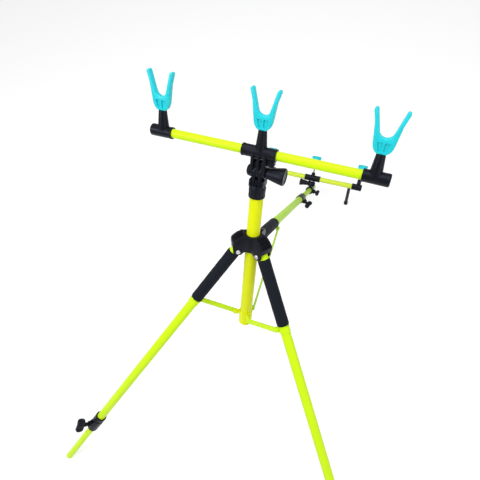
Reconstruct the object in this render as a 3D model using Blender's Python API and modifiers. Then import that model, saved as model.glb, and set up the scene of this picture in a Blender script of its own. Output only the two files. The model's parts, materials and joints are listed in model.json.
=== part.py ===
"""Three-rod fishing tripod: a leaning column on three folding, telescopic legs.

The column carries a tilting head and a cross bar with three V rests. The rear leg lies flatter than the
front pair and carries a second bar with three butt cups and one small prop.

The pieces are built in the column's own frame: Z runs up the column, the leg pivots lie at Z = 0 and the
rear leg points along +Y. One empty leans that frame so that all the feet meet the floor at Z = 0.
"""
import math

import bmesh
import bpy
import numpy as np
from mathutils import Matrix, Vector

MM = 0.001

# Fits
CLEARANCE = 0.3 * MM
PIN_CLEARANCE = 0.35 * MM
OVERLAP = 1.0 * MM
RUN_PAST = 6 * MM
ROUND_STEPS = 20
TURNED_STEPS = 16
SMALL_STEPS = 10
FACET_TURN = math.radians(4)

# Column and the cup on its foot
COLUMN_RADIUS = 14.5 * MM
COLUMN_WALL = 1.5 * MM
COLUMN_TOP = 152 * MM
CUP_TOP = -196 * MM
CUP_LENGTH = 40 * MM
CUP_FLOOR = 4 * MM
CUP_WALL = 1.4 * MM

# Hub
HUB_RADIUS = 21 * MM
HUB_TOP = 36 * MM
HUB_BOTTOM = -3 * MM
BUSH_WALL = 1.6 * MM
PIVOT_RADIUS = 33.5 * MM
FORK_HALF_WIDTH = 16.5 * MM
FORK_REACH = 10.5 * MM
FORK_CROWN = 37 * MM
FORK_DROP = 9 * MM
FORK_SLOT_SLACK = 0.6 * MM
FORK_GROOVE_HALF = 8.5 * MM
FORK_GROOVE_DEPTH = 1.4 * MM
PIVOT_PIN_RADIUS = 3 * MM
PIVOT_HEAD_RADIUS = 5.2 * MM
PIVOT_HEAD_HEIGHT = 2.2 * MM
LOCK_AZIMUTH = math.radians(150)
LOCK_HEIGHT = 17 * MM
LOCK_SCREW_RADIUS = 3 * MM
LOCK_NECK_RADIUS = 3.8 * MM
LOCK_BOSS_RADIUS = 5.5 * MM
LOCK_BOSS_END = 24 * MM
LOCK_KNOB_RADIUS = 7.5 * MM
LOCK_KNOB_START = 29 * MM
LOCK_KNOB_END = 41 * MM

# Legs, as distances down the leg from its pivot
LEG_RADIUS = 11.5 * MM
LEG_WALL = 1.2 * MM
LEG_HEAD = 7 * MM
GRIP_START = 11.4 * MM
GRIP_END = 167.5 * MM
GRIP_WALL = 2.1 * MM
GRIP_ROUNDING = 1.6 * MM
COLLAR_LENGTH = 62 * MM
COLLAR_RADIUS = 15.5 * MM
REAR_COLLAR_RADIUS = 14.3 * MM
COLLAR_LOW_RADIUS = 13 * MM
COLLAR_CHAMFER = 1.5 * MM
COLLAR_SEAT = 19 * MM
SHANK_RADIUS = 9.5 * MM
SHANK_WALL = 1 * MM
SHANK_LENGTH = 620 * MM
TIP_SHOULDER = 8 * MM
TIP_PLUG = 18 * MM
TIP_FLAT = 1 * MM

# Wing screws
SCREW_RADIUS = 3 * MM
SCREW_BOSS_RADIUS = 8.6 * MM
SCREW_BOSS_END = 22.5 * MM
SCREW_FROM_COLLAR_END = 23 * MM
WING_NECK_RADIUS = 6.2 * MM
WING_HALF_THICK = 5.2 * MM

# Stays between the legs and the cup
STAY_ON_LEG = 177 * MM
STAY_OFF_LEG = 14.6 * MM
STAY_RADIUS_AT_CUP = 24.6 * MM
STAY_HEIGHT_AT_CUP = -207 * MM
STAY_HALF_WIDTH = 6.2 * MM
STAY_THICKNESS = 3.6 * MM
LUG_THICKNESS = 3.2 * MM
LUG_FAR_FACE = -10.3 * MM
LUG_HALF_WIDTH = 6.7 * MM
RIVET_RADIUS = 2.5 * MM
RIVET_HEAD_RADIUS = 4.2 * MM
RIVET_HEAD_HEIGHT = 1.6 * MM
CLIP_LENGTH = 14 * MM
CLIP_WALL = 1.2 * MM

# Head
HEAD_BOTTOM = 127.5 * MM
HEAD_SLEEVE_LENGTH = 28.5 * MM
HEAD_BOTTOM_RADIUS = 16.6 * MM
HEAD_TOP_RADIUS = 17.6 * MM
HEAD_PIVOT = 182 * MM
HEAD_KNUCKLE_RADIUS = 12.8 * MM
HEAD_PLATE = 6 * MM
HEAD_MIDDLE_PLATE_HALF = 2.6 * MM
HEAD_BLOCK_CLEARANCE = 1.6 * MM
HEAD_BOLT_RADIUS = 3 * MM
HEAD_BOLT_IN_KNOB = 12 * MM
HEAD_CAP_RADIUS = 12 * MM
HEAD_CAP_LENGTH = 9 * MM
HEAD_KNOB_NECK_RADIUS = 11 * MM
HEAD_KNOB_RADIUS = 16.6 * MM
HEAD_KNOB_LENGTH = 38 * MM
HEAD_BOSS_LENGTH = 15 * MM
HEAD_BOSS_HALF = 6 * MM
BAR_YAW = math.radians(-2.5)

# Front bar
BAR_HEIGHT = 221 * MM
BAR_RADIUS = 9 * MM
BAR_WALL = 1.2 * MM
MIDDLE_SLEEVE_LEFT = 37 * MM
MIDDLE_SLEEVE_RIGHT = 32.5 * MM
MIDDLE_SLEEVE_RADIUS = 12.3 * MM
REST_SPACING = 211 * MM
END_SLEEVE_RADIUS = 12 * MM
END_SLEEVE_INNER = 21.5 * MM
END_SLEEVE_OUTER = 27 * MM
END_SLEEVE_SKIN = 2.5 * MM
STEM_HEIGHT = 43.6 * MM
STEM_BASE_RADIUS = 11.2 * MM
STEM_TOP_RADIUS = 8.1 * MM
SPIGOT_RADIUS = 4 * MM
SPIGOT_LENGTH = 14 * MM

# V rests, measured up from the top of the stem
V_HALF_DEPTH = 6 * MM
V_FOOT_HALF = 8 * MM
V_BELLY_HALF = 18 * MM
V_BELLY_HEIGHT = 16 * MM
V_WAIST_HALF = 22.6 * MM
V_WAIST_HEIGHT = 50 * MM
V_TIP_SPREAD = 24.8 * MM
V_HEIGHT = 73.7 * MM
V_TIP_RADIUS = 3.4 * MM
V_NOTCH_HEIGHT = 27 * MM
V_NOTCH_RADIUS = 12.3 * MM
V_PANEL_TOP = 21.5 * MM
V_PANEL_BOTTOM = 5 * MM
V_PANEL_DEPTH = 1.5 * MM
V_RIB_HALF = 1.4 * MM

# Rear bar, its clamp and cups
REAR_CLAMP_AT = 801 * MM
REAR_CLAMP_LENGTH = 30 * MM
REAR_CLAMP_RADIUS = 15.2 * MM
REAR_PIVOT_OFF_LEG = 26 * MM
REAR_BAR_OFF_LEG = 50 * MM
REAR_KNUCKLE_RADIUS = 10.5 * MM
REAR_KNUCKLE_HALF = 5.5 * MM
REAR_PLATE = 6 * MM
REAR_KNOB_RADIUS = 14 * MM
REAR_KNOB_NECK = 8.5 * MM
REAR_KNOB_WAIST = 10.3 * MM
REAR_KNOB_LENGTH = 36 * MM
REAR_BAR_RADIUS = 9.8 * MM
REAR_SLEEVE_RADIUS = 12.8 * MM
REAR_SLEEVE_HALF = 31 * MM
REAR_SPACING = 183.5 * MM
REAR_END_INNER = 24 * MM
REAR_END_OUTER = 15 * MM
REAR_STEM_BASE_RADIUS = 8.4 * MM
REAR_STEM_TOP_RADIUS = 6.8 * MM
REAR_STUB_HEIGHT = 23 * MM
REAR_SPIGOT_RADIUS = 2.6 * MM
REAR_SPIGOT_LENGTH = 10 * MM
BUTT_CUP_RADIUS = 18.5 * MM
BUTT_CUP_FOOT_RADIUS = 9 * MM
BUTT_CUP_HEIGHT = 44 * MM
BUTT_CUP_SHOULDER = 17 * MM
BUTT_CUP_WALL = 2.6 * MM
BUTT_CUP_FLOOR = 18 * MM
PROP_OFFSET = 151 * MM
PROP_SPIGOT_RADIUS = 2.5 * MM
PROP_SPIGOT_RISE = 4 * MM
PROP_RADIUS = 6.2 * MM
PROP_TIP_RADIUS = 7.8 * MM
PROP_TIP_LENGTH = 16 * MM
PROP_TIP_OVERLAP = 10 * MM

# Stance: slopes are measured down from a plane square to the column
FRONT_SPREAD = math.radians(30)
FRONT_SLOPE = math.radians(57.8)
FRONT_TUBE_LENGTH = 686 * MM
FRONT_REACH = 915 * MM
FRONT_SCREW_ANGLE = math.radians(20)
FRONT_WING_END = 57 * MM
FRONT_WING_HALF = 20 * MM
FRONT_WING_THICKNESS = 22 * MM
FRONT_WING_TURN = math.radians(30)
REAR_SLOPE = math.radians(17.6)
REAR_TUBE_LENGTH = 550 * MM
REAR_REACH = 907 * MM
REAR_LEG_SCREW_ANGLE = math.radians(-120)
REAR_WING_END = 44 * MM
REAR_WING_HALF = 15 * MM
REAR_WING_THICKNESS = 16 * MM
REAR_WING_TURN = math.radians(60)
FRONT_LEG = {
    "slope": FRONT_SLOPE, "tube": FRONT_TUBE_LENGTH, "reach": FRONT_REACH,
    "screw": FRONT_SCREW_ANGLE, "wing_end": FRONT_WING_END, "wing_half": FRONT_WING_HALF,
    "wing_thick": FRONT_WING_THICKNESS, "wing_turn": FRONT_WING_TURN, "collar": COLLAR_RADIUS,
}
REAR_LEG = {
    "slope": REAR_SLOPE, "tube": REAR_TUBE_LENGTH, "reach": REAR_REACH,
    "screw": REAR_LEG_SCREW_ANGLE, "wing_end": REAR_WING_END, "wing_half": REAR_WING_HALF,
    "wing_thick": REAR_WING_THICKNESS, "wing_turn": REAR_WING_TURN, "collar": REAR_COLLAR_RADIUS,
}
LEGS = {
    "left": {"azimuth": math.pi + FRONT_SPREAD, **FRONT_LEG},
    "right": {"azimuth": -FRONT_SPREAD, **FRONT_LEG},
    "rear": {"azimuth": math.pi / 2, **REAR_LEG},
}
REAR_SCREW_ANGLE = math.radians(-100)
REAR_SCREW_END = 40 * MM
REAR_SCREW_HALF = 12 * MM
REAR_SCREW_THICKNESS = 13 * MM
REAR_SCREW_TURN = math.radians(45)

# Sizes that follow from the ones above
BUSH_BORE = COLUMN_RADIUS + CLEARANCE
HUB_BORE = BUSH_BORE + BUSH_WALL + CLEARANCE
FORK_SLOT_HALF = LEG_RADIUS + FORK_SLOT_SLACK
FORK_SLOT_RADIUS = math.hypot(LEG_HEAD, LEG_RADIUS) + FORK_SLOT_SLACK
LUG_NEAR_FACE = LUG_FAR_FACE + LUG_THICKNESS
STAY_FACE = LUG_FAR_FACE - CLEARANCE
STAY_FAR_FACE = STAY_FACE - STAY_THICKNESS
HEAD_SIDE = HEAD_MIDDLE_PLATE_HALF + 2 * CLEARANCE + 2 * HEAD_PLATE
REAR_SIDE = REAR_KNUCKLE_HALF + CLEARANCE + REAR_PLATE


def clear_scene():
    for old in list(bpy.data.objects):
        bpy.data.objects.remove(old, do_unlink=True)


clear_scene()
PARTS = bpy.data.collections.new("rod_tripod")
TOOLS = bpy.data.collections.new("cutters")
bpy.context.scene.collection.children.link(PARTS)
bpy.context.scene.collection.children.link(TOOLS)


def make_material(name, colour, roughness, metallic=0.0):
    material = bpy.data.materials.new(name)
    material.use_nodes = True
    shader = material.node_tree.nodes["Principled BSDF"]
    shader.inputs["Base Color"].default_value = (*colour, 1.0)
    shader.inputs["Roughness"].default_value = roughness
    shader.inputs["Metallic"].default_value = metallic
    return material


LIME = make_material("lime_paint", (0.66, 0.93, 0.02), 0.35)
BLACK = make_material("black_plastic", (0.018, 0.019, 0.024), 0.45)
FOAM = make_material("grip_foam", (0.022, 0.022, 0.025), 0.75)
CYAN = make_material("cyan_plastic", (0.02, 0.72, 0.80), 0.4)
STEEL = make_material("steel", (0.55, 0.56, 0.58), 0.3, 1.0)
RUBBER = make_material("rubber", (0.02, 0.02, 0.02), 0.85)


def add_empty(name, parent, location=(0, 0, 0), rotation=(0, 0, 0)):
    empty = bpy.data.objects.new(name, None)
    empty.empty_display_size = 0.02
    PARTS.objects.link(empty)
    empty.parent = parent
    empty.location = location
    empty.rotation_euler = rotation
    return empty


def add_part(name, mesh, parent, material, location=(0, 0, 0), rotation=(0, 0, 0)):
    part = bpy.data.objects.new(name, mesh)
    PARTS.objects.link(part)
    part.parent = parent
    part.location = location
    part.rotation_euler = rotation
    if not mesh.materials:
        mesh.materials.append(material)
    mesh.shade_smooth()
    mesh.set_sharp_from_angle(angle=math.radians(35))
    return part


def mesh_from(bm, name):
    mesh = bpy.data.meshes.new(name)
    bm.to_mesh(mesh)
    bm.free()
    return mesh


def evaluated_mesh(mesh, modify):
    """The mesh after the modifiers that modify() adds to a scratch object."""
    scratch = bpy.data.objects.new("scratch", mesh)
    TOOLS.objects.link(scratch)
    modify(scratch)
    result = bpy.data.meshes.new_from_object(scratch.evaluated_get(bpy.context.evaluated_depsgraph_get()))
    bpy.data.objects.remove(scratch, do_unlink=True)
    return result


def turned(profile, steps=ROUND_STEPS, closed=False):
    """A solid turned about Z from (radius, height) points that run down its outer side."""
    mesh = bpy.data.meshes.new("profile")
    edges = [(i, i + 1) for i in range(len(profile) - 1)]
    if closed:
        edges.append((len(profile) - 1, 0))
    mesh.from_pydata([(r, 0, z) for r, z in profile], edges, [])

    def modify(scratch):
        screw = scratch.modifiers.new("turn", 'SCREW')
        screw.axis = 'Z'
        screw.angle = math.tau
        screw.steps = steps
        screw.render_steps = steps
        screw.use_merge_vertices = True
        screw.merge_threshold = 0.00001

    return evaluated_mesh(mesh, modify)


def tube(outer, inner, top, bottom, steps=ROUND_STEPS):
    return turned([(outer, top), (outer, bottom), (inner, bottom), (inner, top)], steps, closed=True)


def rod(radius, top, bottom, steps=ROUND_STEPS, end_radius=None):
    """A bar or a cone, its facets turned a little so that no edge lies on one of a turned shape."""
    bm = bmesh.new()
    bmesh.ops.create_cone(bm, cap_ends=True, segments=steps, radius1=end_radius or radius,
                          radius2=radius, depth=top - bottom, matrix=Matrix.Rotation(FACET_TURN, 4, 'Z'))
    bmesh.ops.translate(bm, vec=(0, 0, (top + bottom) / 2), verts=bm.verts)
    return mesh_from(bm, "rod")


def block(low, high):
    bm = bmesh.new()
    bmesh.ops.create_cube(bm, size=1)
    size = [h - l for l, h in zip(low, high)]
    middle = [(h + l) / 2 for l, h in zip(low, high)]
    bmesh.ops.scale(bm, vec=size, verts=bm.verts)
    bmesh.ops.translate(bm, vec=middle, verts=bm.verts)
    return mesh_from(bm, "block")


def plate(outline, low_y, high_y, holes=()):
    """A flat outline in X and Z, filled, with a thickness along Y."""
    curve = bpy.data.curves.new("outline", 'CURVE')
    curve.dimensions = '2D'
    curve.fill_mode = 'BOTH'
    curve.extrude = (high_y - low_y) / 2
    for ring in (outline, *holes):
        spline = curve.splines.new('POLY')
        spline.points.add(len(ring) - 1)
        for point, (x, z) in zip(spline.points, ring):
            point.co = (x, z, 0, 1)
        spline.use_cyclic_u = True
    flat = bpy.data.objects.new("outline", curve)
    TOOLS.objects.link(flat)
    mesh = bpy.data.meshes.new_from_object(flat.evaluated_get(bpy.context.evaluated_depsgraph_get()))
    bpy.data.objects.remove(flat, do_unlink=True)
    bm = bmesh.new()
    bm.from_mesh(mesh)
    bmesh.ops.remove_doubles(bm, verts=bm.verts, dist=0.000001)
    bm.to_mesh(mesh)
    bm.free()
    mesh.transform(Matrix.Rotation(math.pi / 2, 4, 'X'))
    mesh.transform(Matrix.Translation((0, (low_y + high_y) / 2, 0)))
    return mesh


def arc(centre, radius, start, end, steps):
    """Points on an arc in degrees, ends included."""
    angles = [math.radians(start + (end - start) * i / steps) for i in range(steps + 1)]
    return [(centre[0] + radius * math.cos(a), centre[1] + radius * math.sin(a)) for a in angles]


def moved(mesh, matrix):
    mesh.transform(matrix)
    return mesh


def along_x(mesh, offset=0.0):
    """Lay a mesh built along Z down along X, its top towards +X."""
    return moved(mesh, Matrix.Translation((offset, 0, 0)) @ Matrix.Rotation(math.pi / 2, 4, 'Y'))


def along_y(mesh, offset=0.0):
    """Lay a mesh built along Z down along Y, its top towards +Y."""
    return moved(mesh, Matrix.Translation((0, offset, 0)) @ Matrix.Rotation(-math.pi / 2, 4, 'X'))


def shaped(mesh, joined=(), cut=()):
    """The mesh with the joined meshes added to it and then the cut meshes taken away."""
    tools = [(tool, 'UNION') for tool in joined] + [(tool, 'DIFFERENCE') for tool in cut]
    for tool_mesh, operation in tools:
        tool = bpy.data.objects.new("cutter", tool_mesh)
        TOOLS.objects.link(tool)
        tool.hide_render = True
        tool.display_type = 'WIRE'

        def modify(scratch):
            boolean = scratch.modifiers.new("shape", 'BOOLEAN')
            boolean.operation = operation
            boolean.solver = 'EXACT'
            boolean.object = tool

        mesh = evaluated_mesh(mesh, modify)
        bpy.data.objects.remove(tool, do_unlink=True)
    return mesh


def bevelled(mesh, width, segments=2):
    def modify(scratch):
        bevel = scratch.modifiers.new("edge", 'BEVEL')
        bevel.width = width
        bevel.segments = segments
        bevel.limit_method = 'ANGLE'
        bevel.angle_limit = math.radians(50)

    return evaluated_mesh(mesh, modify)


def stadium(length, half_width, steps=6):
    """An outline with round ends about (0, 0) and (0, -length)."""
    return arc((0, 0), half_width, 0, 180, steps) + arc((0, -length), half_width, 180, 360, steps)


# The stance: the three foot balls lie on one plane, which sets how far the column leans
def leg_direction(leg):
    slope = leg["slope"]
    out = Vector((math.cos(leg["azimuth"]), math.sin(leg["azimuth"]), 0))
    return out, out * math.cos(slope) - Vector((0, 0, math.sin(slope)))


def foot_centre(leg):
    out, down = leg_direction(leg)
    return out * PIVOT_RADIUS + down * leg["reach"]


front_foot = foot_centre(LEGS["left"])
rear_foot = foot_centre(LEGS["rear"])
LEAN = math.atan2(rear_foot.z - front_foot.z, rear_foot.y - front_foot.y)
lean_rotation = Matrix.Rotation(-LEAN, 3, 'X')
STAND_HEIGHT = SHANK_RADIUS - TIP_FLAT - (lean_rotation @ front_foot).z

stand = add_empty("stand", None, (0, 0, STAND_HEIGHT), (-LEAN, 0, 0))
column_axis = add_empty("column_fold_axis", stand)


# Hub: a sleeve with three forks, a bush for the column and a pin through each fork
def fork_frame(azimuth):
    return Matrix.Rotation(azimuth, 4, 'Z')


def fork_block():
    reach = PIVOT_RADIUS + FORK_REACH
    crown = FORK_CROWN
    outline = [(HUB_RADIUS / 2, crown), (PIVOT_RADIUS - 9.5 * MM, crown),
               (PIVOT_RADIUS - 0.5 * MM, crown - 4 * MM),
               (reach - 2.5 * MM, crown - 11 * MM), (reach, crown - 16 * MM), (reach, -FORK_DROP + 6 * MM),
               (reach - 4 * MM, -FORK_DROP), (PIVOT_RADIUS - 6.5 * MM, -FORK_DROP),
               (HUB_RADIUS - OVERLAP / 2, HUB_BOTTOM + 0.5 * MM), (HUB_RADIUS / 2, HUB_BOTTOM + 0.5 * MM)]
    return plate(outline[::-1], -FORK_HALF_WIDTH, FORK_HALF_WIDTH)


def fork_slot():
    far = PIVOT_RADIUS + 30 * MM
    low = -40 * MM
    inner = PIVOT_RADIUS - FORK_SLOT_RADIUS
    outline = arc((PIVOT_RADIUS, 0), FORK_SLOT_RADIUS, 90, 180, 8)
    outline += [(inner, low), (far, low), (far, FORK_SLOT_RADIUS)]
    return plate(outline, -FORK_SLOT_HALF, FORK_SLOT_HALF)


def fork_groove():
    reach = PIVOT_RADIUS + FORK_REACH
    crown = FORK_CROWN - FORK_GROOVE_DEPTH
    high = FORK_CROWN + 12 * MM
    outline = [(HUB_RADIUS + 1.6 * MM, high), (HUB_RADIUS + 1.6 * MM, crown + 0.6 * MM),
               (PIVOT_RADIUS - 1.1 * MM, crown - 3.9 * MM), (reach - 3.4 * MM, crown - 10.6 * MM),
               (reach - 1.4 * MM, crown - 14.6 * MM), (reach + 16 * MM, crown - 14.6 * MM),
               (reach + 16 * MM, high)]
    return plate(outline, -FORK_GROOVE_HALF, FORK_GROOVE_HALF)


def hub_mesh():
    frames = [fork_frame(leg["azimuth"]) for leg in LEGS.values()]
    bore = rod(HUB_BORE, FORK_CROWN + RUN_PAST, HUB_BOTTOM - 3 * RUN_PAST)
    pin_hole = PIVOT_PIN_RADIUS + PIN_CLEARANCE
    joined = [moved(fork_block(), frame) for frame in frames]
    cut = [bore]
    for frame in frames:
        cut.append(moved(fork_slot(), frame))
        cut.append(moved(fork_groove(), frame))
        hole = along_y(rod(pin_hole, 2 * FORK_HALF_WIDTH, -2 * FORK_HALF_WIDTH, SMALL_STEPS))
        cut.append(moved(hole, frame @ Matrix.Translation((PIVOT_RADIUS, 0, 0))))
    lock = fork_frame(LOCK_AZIMUTH) @ Matrix.Translation((0, 0, LOCK_HEIGHT))
    lock_boss = rod(LOCK_BOSS_RADIUS, LOCK_BOSS_END, HUB_RADIUS - 3 * MM, SMALL_STEPS)
    joined.append(moved(along_x(lock_boss), lock))
    lock_hole = along_x(rod(LOCK_SCREW_RADIUS + CLEARANCE, LOCK_KNOB_START, 0, SMALL_STEPS))
    cut.append(moved(lock_hole, lock))
    return shaped(rod(HUB_RADIUS, HUB_TOP, HUB_BOTTOM), joined, cut)


def bush_mesh():
    sleeve = tube(HUB_BORE - CLEARANCE, BUSH_BORE, HUB_TOP - CLEARANCE, HUB_BOTTOM + CLEARANCE)
    hole = along_x(rod(LOCK_SCREW_RADIUS + CLEARANCE, LOCK_KNOB_START, 0, SMALL_STEPS))
    place = fork_frame(LOCK_AZIMUTH) @ Matrix.Translation((0, 0, LOCK_HEIGHT))
    return shaped(sleeve, cut=[moved(hole, place)])


def pivot_pin_mesh():
    seat = FORK_HALF_WIDTH + CLEARANCE
    end = seat + PIVOT_HEAD_HEIGHT
    rounded = PIVOT_HEAD_RADIUS * 0.6
    profile = [(0, end), (rounded, end), (PIVOT_HEAD_RADIUS, seat + 0.8 * MM), (PIVOT_HEAD_RADIUS, seat),
               (PIVOT_PIN_RADIUS, seat), (PIVOT_PIN_RADIUS, -seat), (PIVOT_HEAD_RADIUS, -seat),
               (PIVOT_HEAD_RADIUS, -seat - 0.8 * MM), (rounded, -end), (0, -end)]
    return along_y(turned(profile, SMALL_STEPS))


def lock_knob_mesh():
    tip = COLUMN_RADIUS + CLEARANCE
    neck = LOCK_BOSS_END + CLEARANCE
    rim = LOCK_KNOB_RADIUS
    profile = [(0, LOCK_KNOB_END), (rim - 1.5 * MM, LOCK_KNOB_END), (rim, LOCK_KNOB_END - 1.5 * MM),
               (rim, LOCK_KNOB_START + 2 * MM), (rim - 2 * MM, LOCK_KNOB_START),
               (LOCK_NECK_RADIUS, LOCK_KNOB_START),
               (LOCK_NECK_RADIUS, neck), (LOCK_SCREW_RADIUS, neck), (LOCK_SCREW_RADIUS, tip), (0, tip)]
    return along_x(turned(profile, SMALL_STEPS))


add_part("hub", hub_mesh(), stand, BLACK)
add_part("hub_bush", bush_mesh(), stand, BLACK)
pin = pivot_pin_mesh()
for side, leg in LEGS.items():
    out, down = leg_direction(leg)
    add_part("leg_pin_" + side, pin, stand, STEEL, out * PIVOT_RADIUS, (0, 0, leg["azimuth"]))
lock_axis = add_empty("column_lock_axis", stand, (0, 0, LOCK_HEIGHT), (0, 0, LOCK_AZIMUTH))
add_part("column_lock_knob", lock_knob_mesh(), lock_axis, BLACK)


# Column: the tube and the cup on its foot, which holds one end of each stay
def rivet_mesh(seat, root, shank=None):
    """A domed head on the seat and a shank, or a plain stub, down to its root inside the other piece."""
    radius, height = RIVET_HEAD_RADIUS, RIVET_HEAD_HEIGHT
    profile = [(0, seat + height), (radius * 0.55, seat + height * 0.85), (radius * 0.9, seat + height * 0.5),
               (radius, seat + height * 0.2)]
    profile += [(radius, seat), (shank, seat), (shank, root)] if shank else [(radius, root)]
    return moved(turned(profile + [(0, root)], SMALL_STEPS), Matrix.Rotation(FACET_TURN, 4, 'Z'))


def stay_cup_mesh():
    """A closed cup with one ear for each stay and the half of its rivet that is set in the ear."""
    bottom = CUP_TOP - CUP_LENGTH
    inner = COLUMN_RADIUS + CLEARANCE
    outer = inner + CUP_WALL
    profile = [(0, CUP_TOP), (outer, CUP_TOP), (outer, bottom + 3 * MM), (outer - 1 * MM, bottom + 1 * MM),
               (outer - 3 * MM, bottom), (0, bottom)]
    root = math.sqrt(outer ** 2 - LUG_FAR_FACE ** 2) - OVERLAP / 2
    half = LUG_HALF_WIDTH
    ear = arc((STAY_RADIUS_AT_CUP, 0), half, -90, 90, 8) + [(root, half), (root, -half)]
    joined = []
    for leg in LEGS.values():
        frame = fork_frame(leg["azimuth"]) @ Matrix.Translation((0, 0, STAY_HEIGHT_AT_CUP))
        joined.append(moved(plate(ear, LUG_FAR_FACE, LUG_NEAR_FACE), frame))
        rivet = along_y(rivet_mesh(LUG_NEAR_FACE, LUG_NEAR_FACE - OVERLAP))
        joined.append(moved(rivet, frame @ Matrix.Translation((STAY_RADIUS_AT_CUP, 0, 0))))
    return shaped(turned(profile), joined, [rod(inner, CUP_TOP + RUN_PAST, bottom + CUP_FLOOR)])


column_foot = CUP_TOP - CUP_LENGTH + CUP_FLOOR + CLEARANCE
add_part("column_tube", tube(COLUMN_RADIUS, COLUMN_RADIUS - COLUMN_WALL, COLUMN_TOP, column_foot),
         column_axis, LIME)
add_part("stay_cup", stay_cup_mesh(), column_axis, LIME)


# Wing screws, shared by the leg collars and the rear clamp: built along +X from the tube's axis
def wing_screw_mesh(tip, end, span, thick):
    neck = SCREW_BOSS_END + CLEARANCE
    start = end - thick
    mid = (start + end) / 2
    outline = [(start - 1 * MM, -6 * MM), (start + 1 * MM, -span + 2 * MM), (mid, -span),
               (end - 3 * MM, 1 * MM - span),
               (end, -span + 5 * MM), (end - 1 * MM, 0), (end, span - 5 * MM), (end - 3 * MM, span - 1 * MM),
               (mid, span), (start + 1 * MM, span - 2 * MM), (start - 1 * MM, 6 * MM)]
    wing = plate(outline, -WING_HALF_THICK, WING_HALF_THICK)
    barrel_end = end - 2.5 * MM
    profile = [(0, barrel_end), (WING_NECK_RADIUS - 1 * MM, barrel_end),
               (WING_NECK_RADIUS, barrel_end - 1 * MM),
               (WING_NECK_RADIUS, neck), (SCREW_RADIUS, neck), (SCREW_RADIUS, tip), (0, tip)]
    barrel = moved(turned(profile, SMALL_STEPS), Matrix.Rotation(FACET_TURN, 4, 'Z'))
    return shaped(bevelled(wing, 1 * MM, 1), [along_x(barrel)])


def screw_boss(tube_radius):
    return along_x(rod(SCREW_BOSS_RADIUS, SCREW_BOSS_END, tube_radius + CLEARANCE + 1.2 * MM, TURNED_STEPS))


def screw_hole():
    return along_x(rod(SCREW_RADIUS + CLEARANCE, SCREW_BOSS_END + RUN_PAST, 0, SMALL_STEPS))


# Legs: each hangs from its own axis, with -Z down the leg and +X on its outer side
def upper_tube_mesh(leg):
    end = leg["tube"] + COLLAR_SEAT - CLEARANCE
    hole = along_y(rod(PIVOT_PIN_RADIUS + PIN_CLEARANCE, 2 * LEG_RADIUS, -2 * LEG_RADIUS, SMALL_STEPS))
    return shaped(tube(LEG_RADIUS, LEG_RADIUS - LEG_WALL, LEG_HEAD, -end), cut=[hole])


def grip_mesh():
    inner = LEG_RADIUS + CLEARANCE
    outer = inner + GRIP_WALL
    soft = GRIP_ROUNDING
    top, low = -GRIP_START, -GRIP_END
    profile = [(inner, top), (outer - soft, top), (outer - 0.4 * soft, top - 0.4 * soft), (outer, top - soft),
               (outer, low + soft), (outer - 0.4 * soft, low + 0.4 * soft), (outer - soft, low), (inner, low)]
    return turned(profile, closed=True)


def collar_mesh(leg):
    top = -leg["tube"]
    low = top - COLLAR_LENGTH
    step = top - COLLAR_SEAT
    wide = LEG_RADIUS + CLEARANCE
    narrow = SHANK_RADIUS + CLEARANCE
    edge = COLLAR_CHAMFER
    outer = leg["collar"]
    profile = [(wide, top), (outer - edge / 2, top), (outer, top - edge), (outer, step),
               (COLLAR_LOW_RADIUS, low + edge), (COLLAR_LOW_RADIUS - edge, low), (narrow, low),
               (narrow, step),
               (wide, step)]
    place = screw_place(leg)
    return shaped(turned(profile, closed=True), [moved(screw_boss(SHANK_RADIUS), place)],
                  [moved(screw_hole(), place)])


def screw_height(leg):
    return -leg["tube"] - COLLAR_LENGTH + SCREW_FROM_COLLAR_END


def screw_place(leg):
    return Matrix.Translation((0, 0, screw_height(leg))) @ Matrix.Rotation(leg["screw"], 4, 'Z')


def tip_mesh():
    """The plug in the end of the lower tube, with a ball of the tube's own radius."""
    plug = SHANK_RADIUS - SHANK_WALL - CLEARANCE
    shoulder = TIP_SHOULDER
    profile = [(0, shoulder + TIP_PLUG), (plug, shoulder + TIP_PLUG), (plug, shoulder),
               (SHANK_RADIUS, shoulder)]
    profile += [(r, z) for r, z in arc((0, 0), SHANK_RADIUS, 0, -90, 6)]
    profile[-1] = (0, -SHANK_RADIUS)
    return turned(profile, TURNED_STEPS)


def clip_mesh():
    """The saddle ring on the leg tube, its ear and its riveted pin."""
    half = CLIP_LENGTH / 2
    inner = LEG_RADIUS + CLEARANCE
    ring = moved(rod(inner + CLIP_WALL, half, -half), Matrix.Translation((0, 0, -STAY_ON_LEG)))
    root = math.sqrt((inner + CLIP_WALL) ** 2 - LUG_FAR_FACE ** 2) - OVERLAP / 2
    ear_half = LUG_HALF_WIDTH
    ear = arc((-STAY_OFF_LEG, 0), ear_half, 90, 270, 8) + [(-root, -ear_half), (-root, ear_half)]
    place = Matrix.Translation((0, 0, -STAY_ON_LEG))
    lug = moved(plate(ear, LUG_FAR_FACE, LUG_NEAR_FACE), place)
    seat = -STAY_FAR_FACE + CLEARANCE
    rivet = rivet_mesh(seat, -LUG_FAR_FACE - OVERLAP, RIVET_RADIUS)
    rivet = moved(rivet, Matrix.Rotation(math.pi / 2, 4, 'X'))
    rivet = moved(rivet, Matrix.Translation((-STAY_OFF_LEG, 0, -STAY_ON_LEG)))
    bore = moved(rod(inner, half + RUN_PAST, -half - RUN_PAST), place)
    return shaped(ring, [lug, rivet], [bore])


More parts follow.
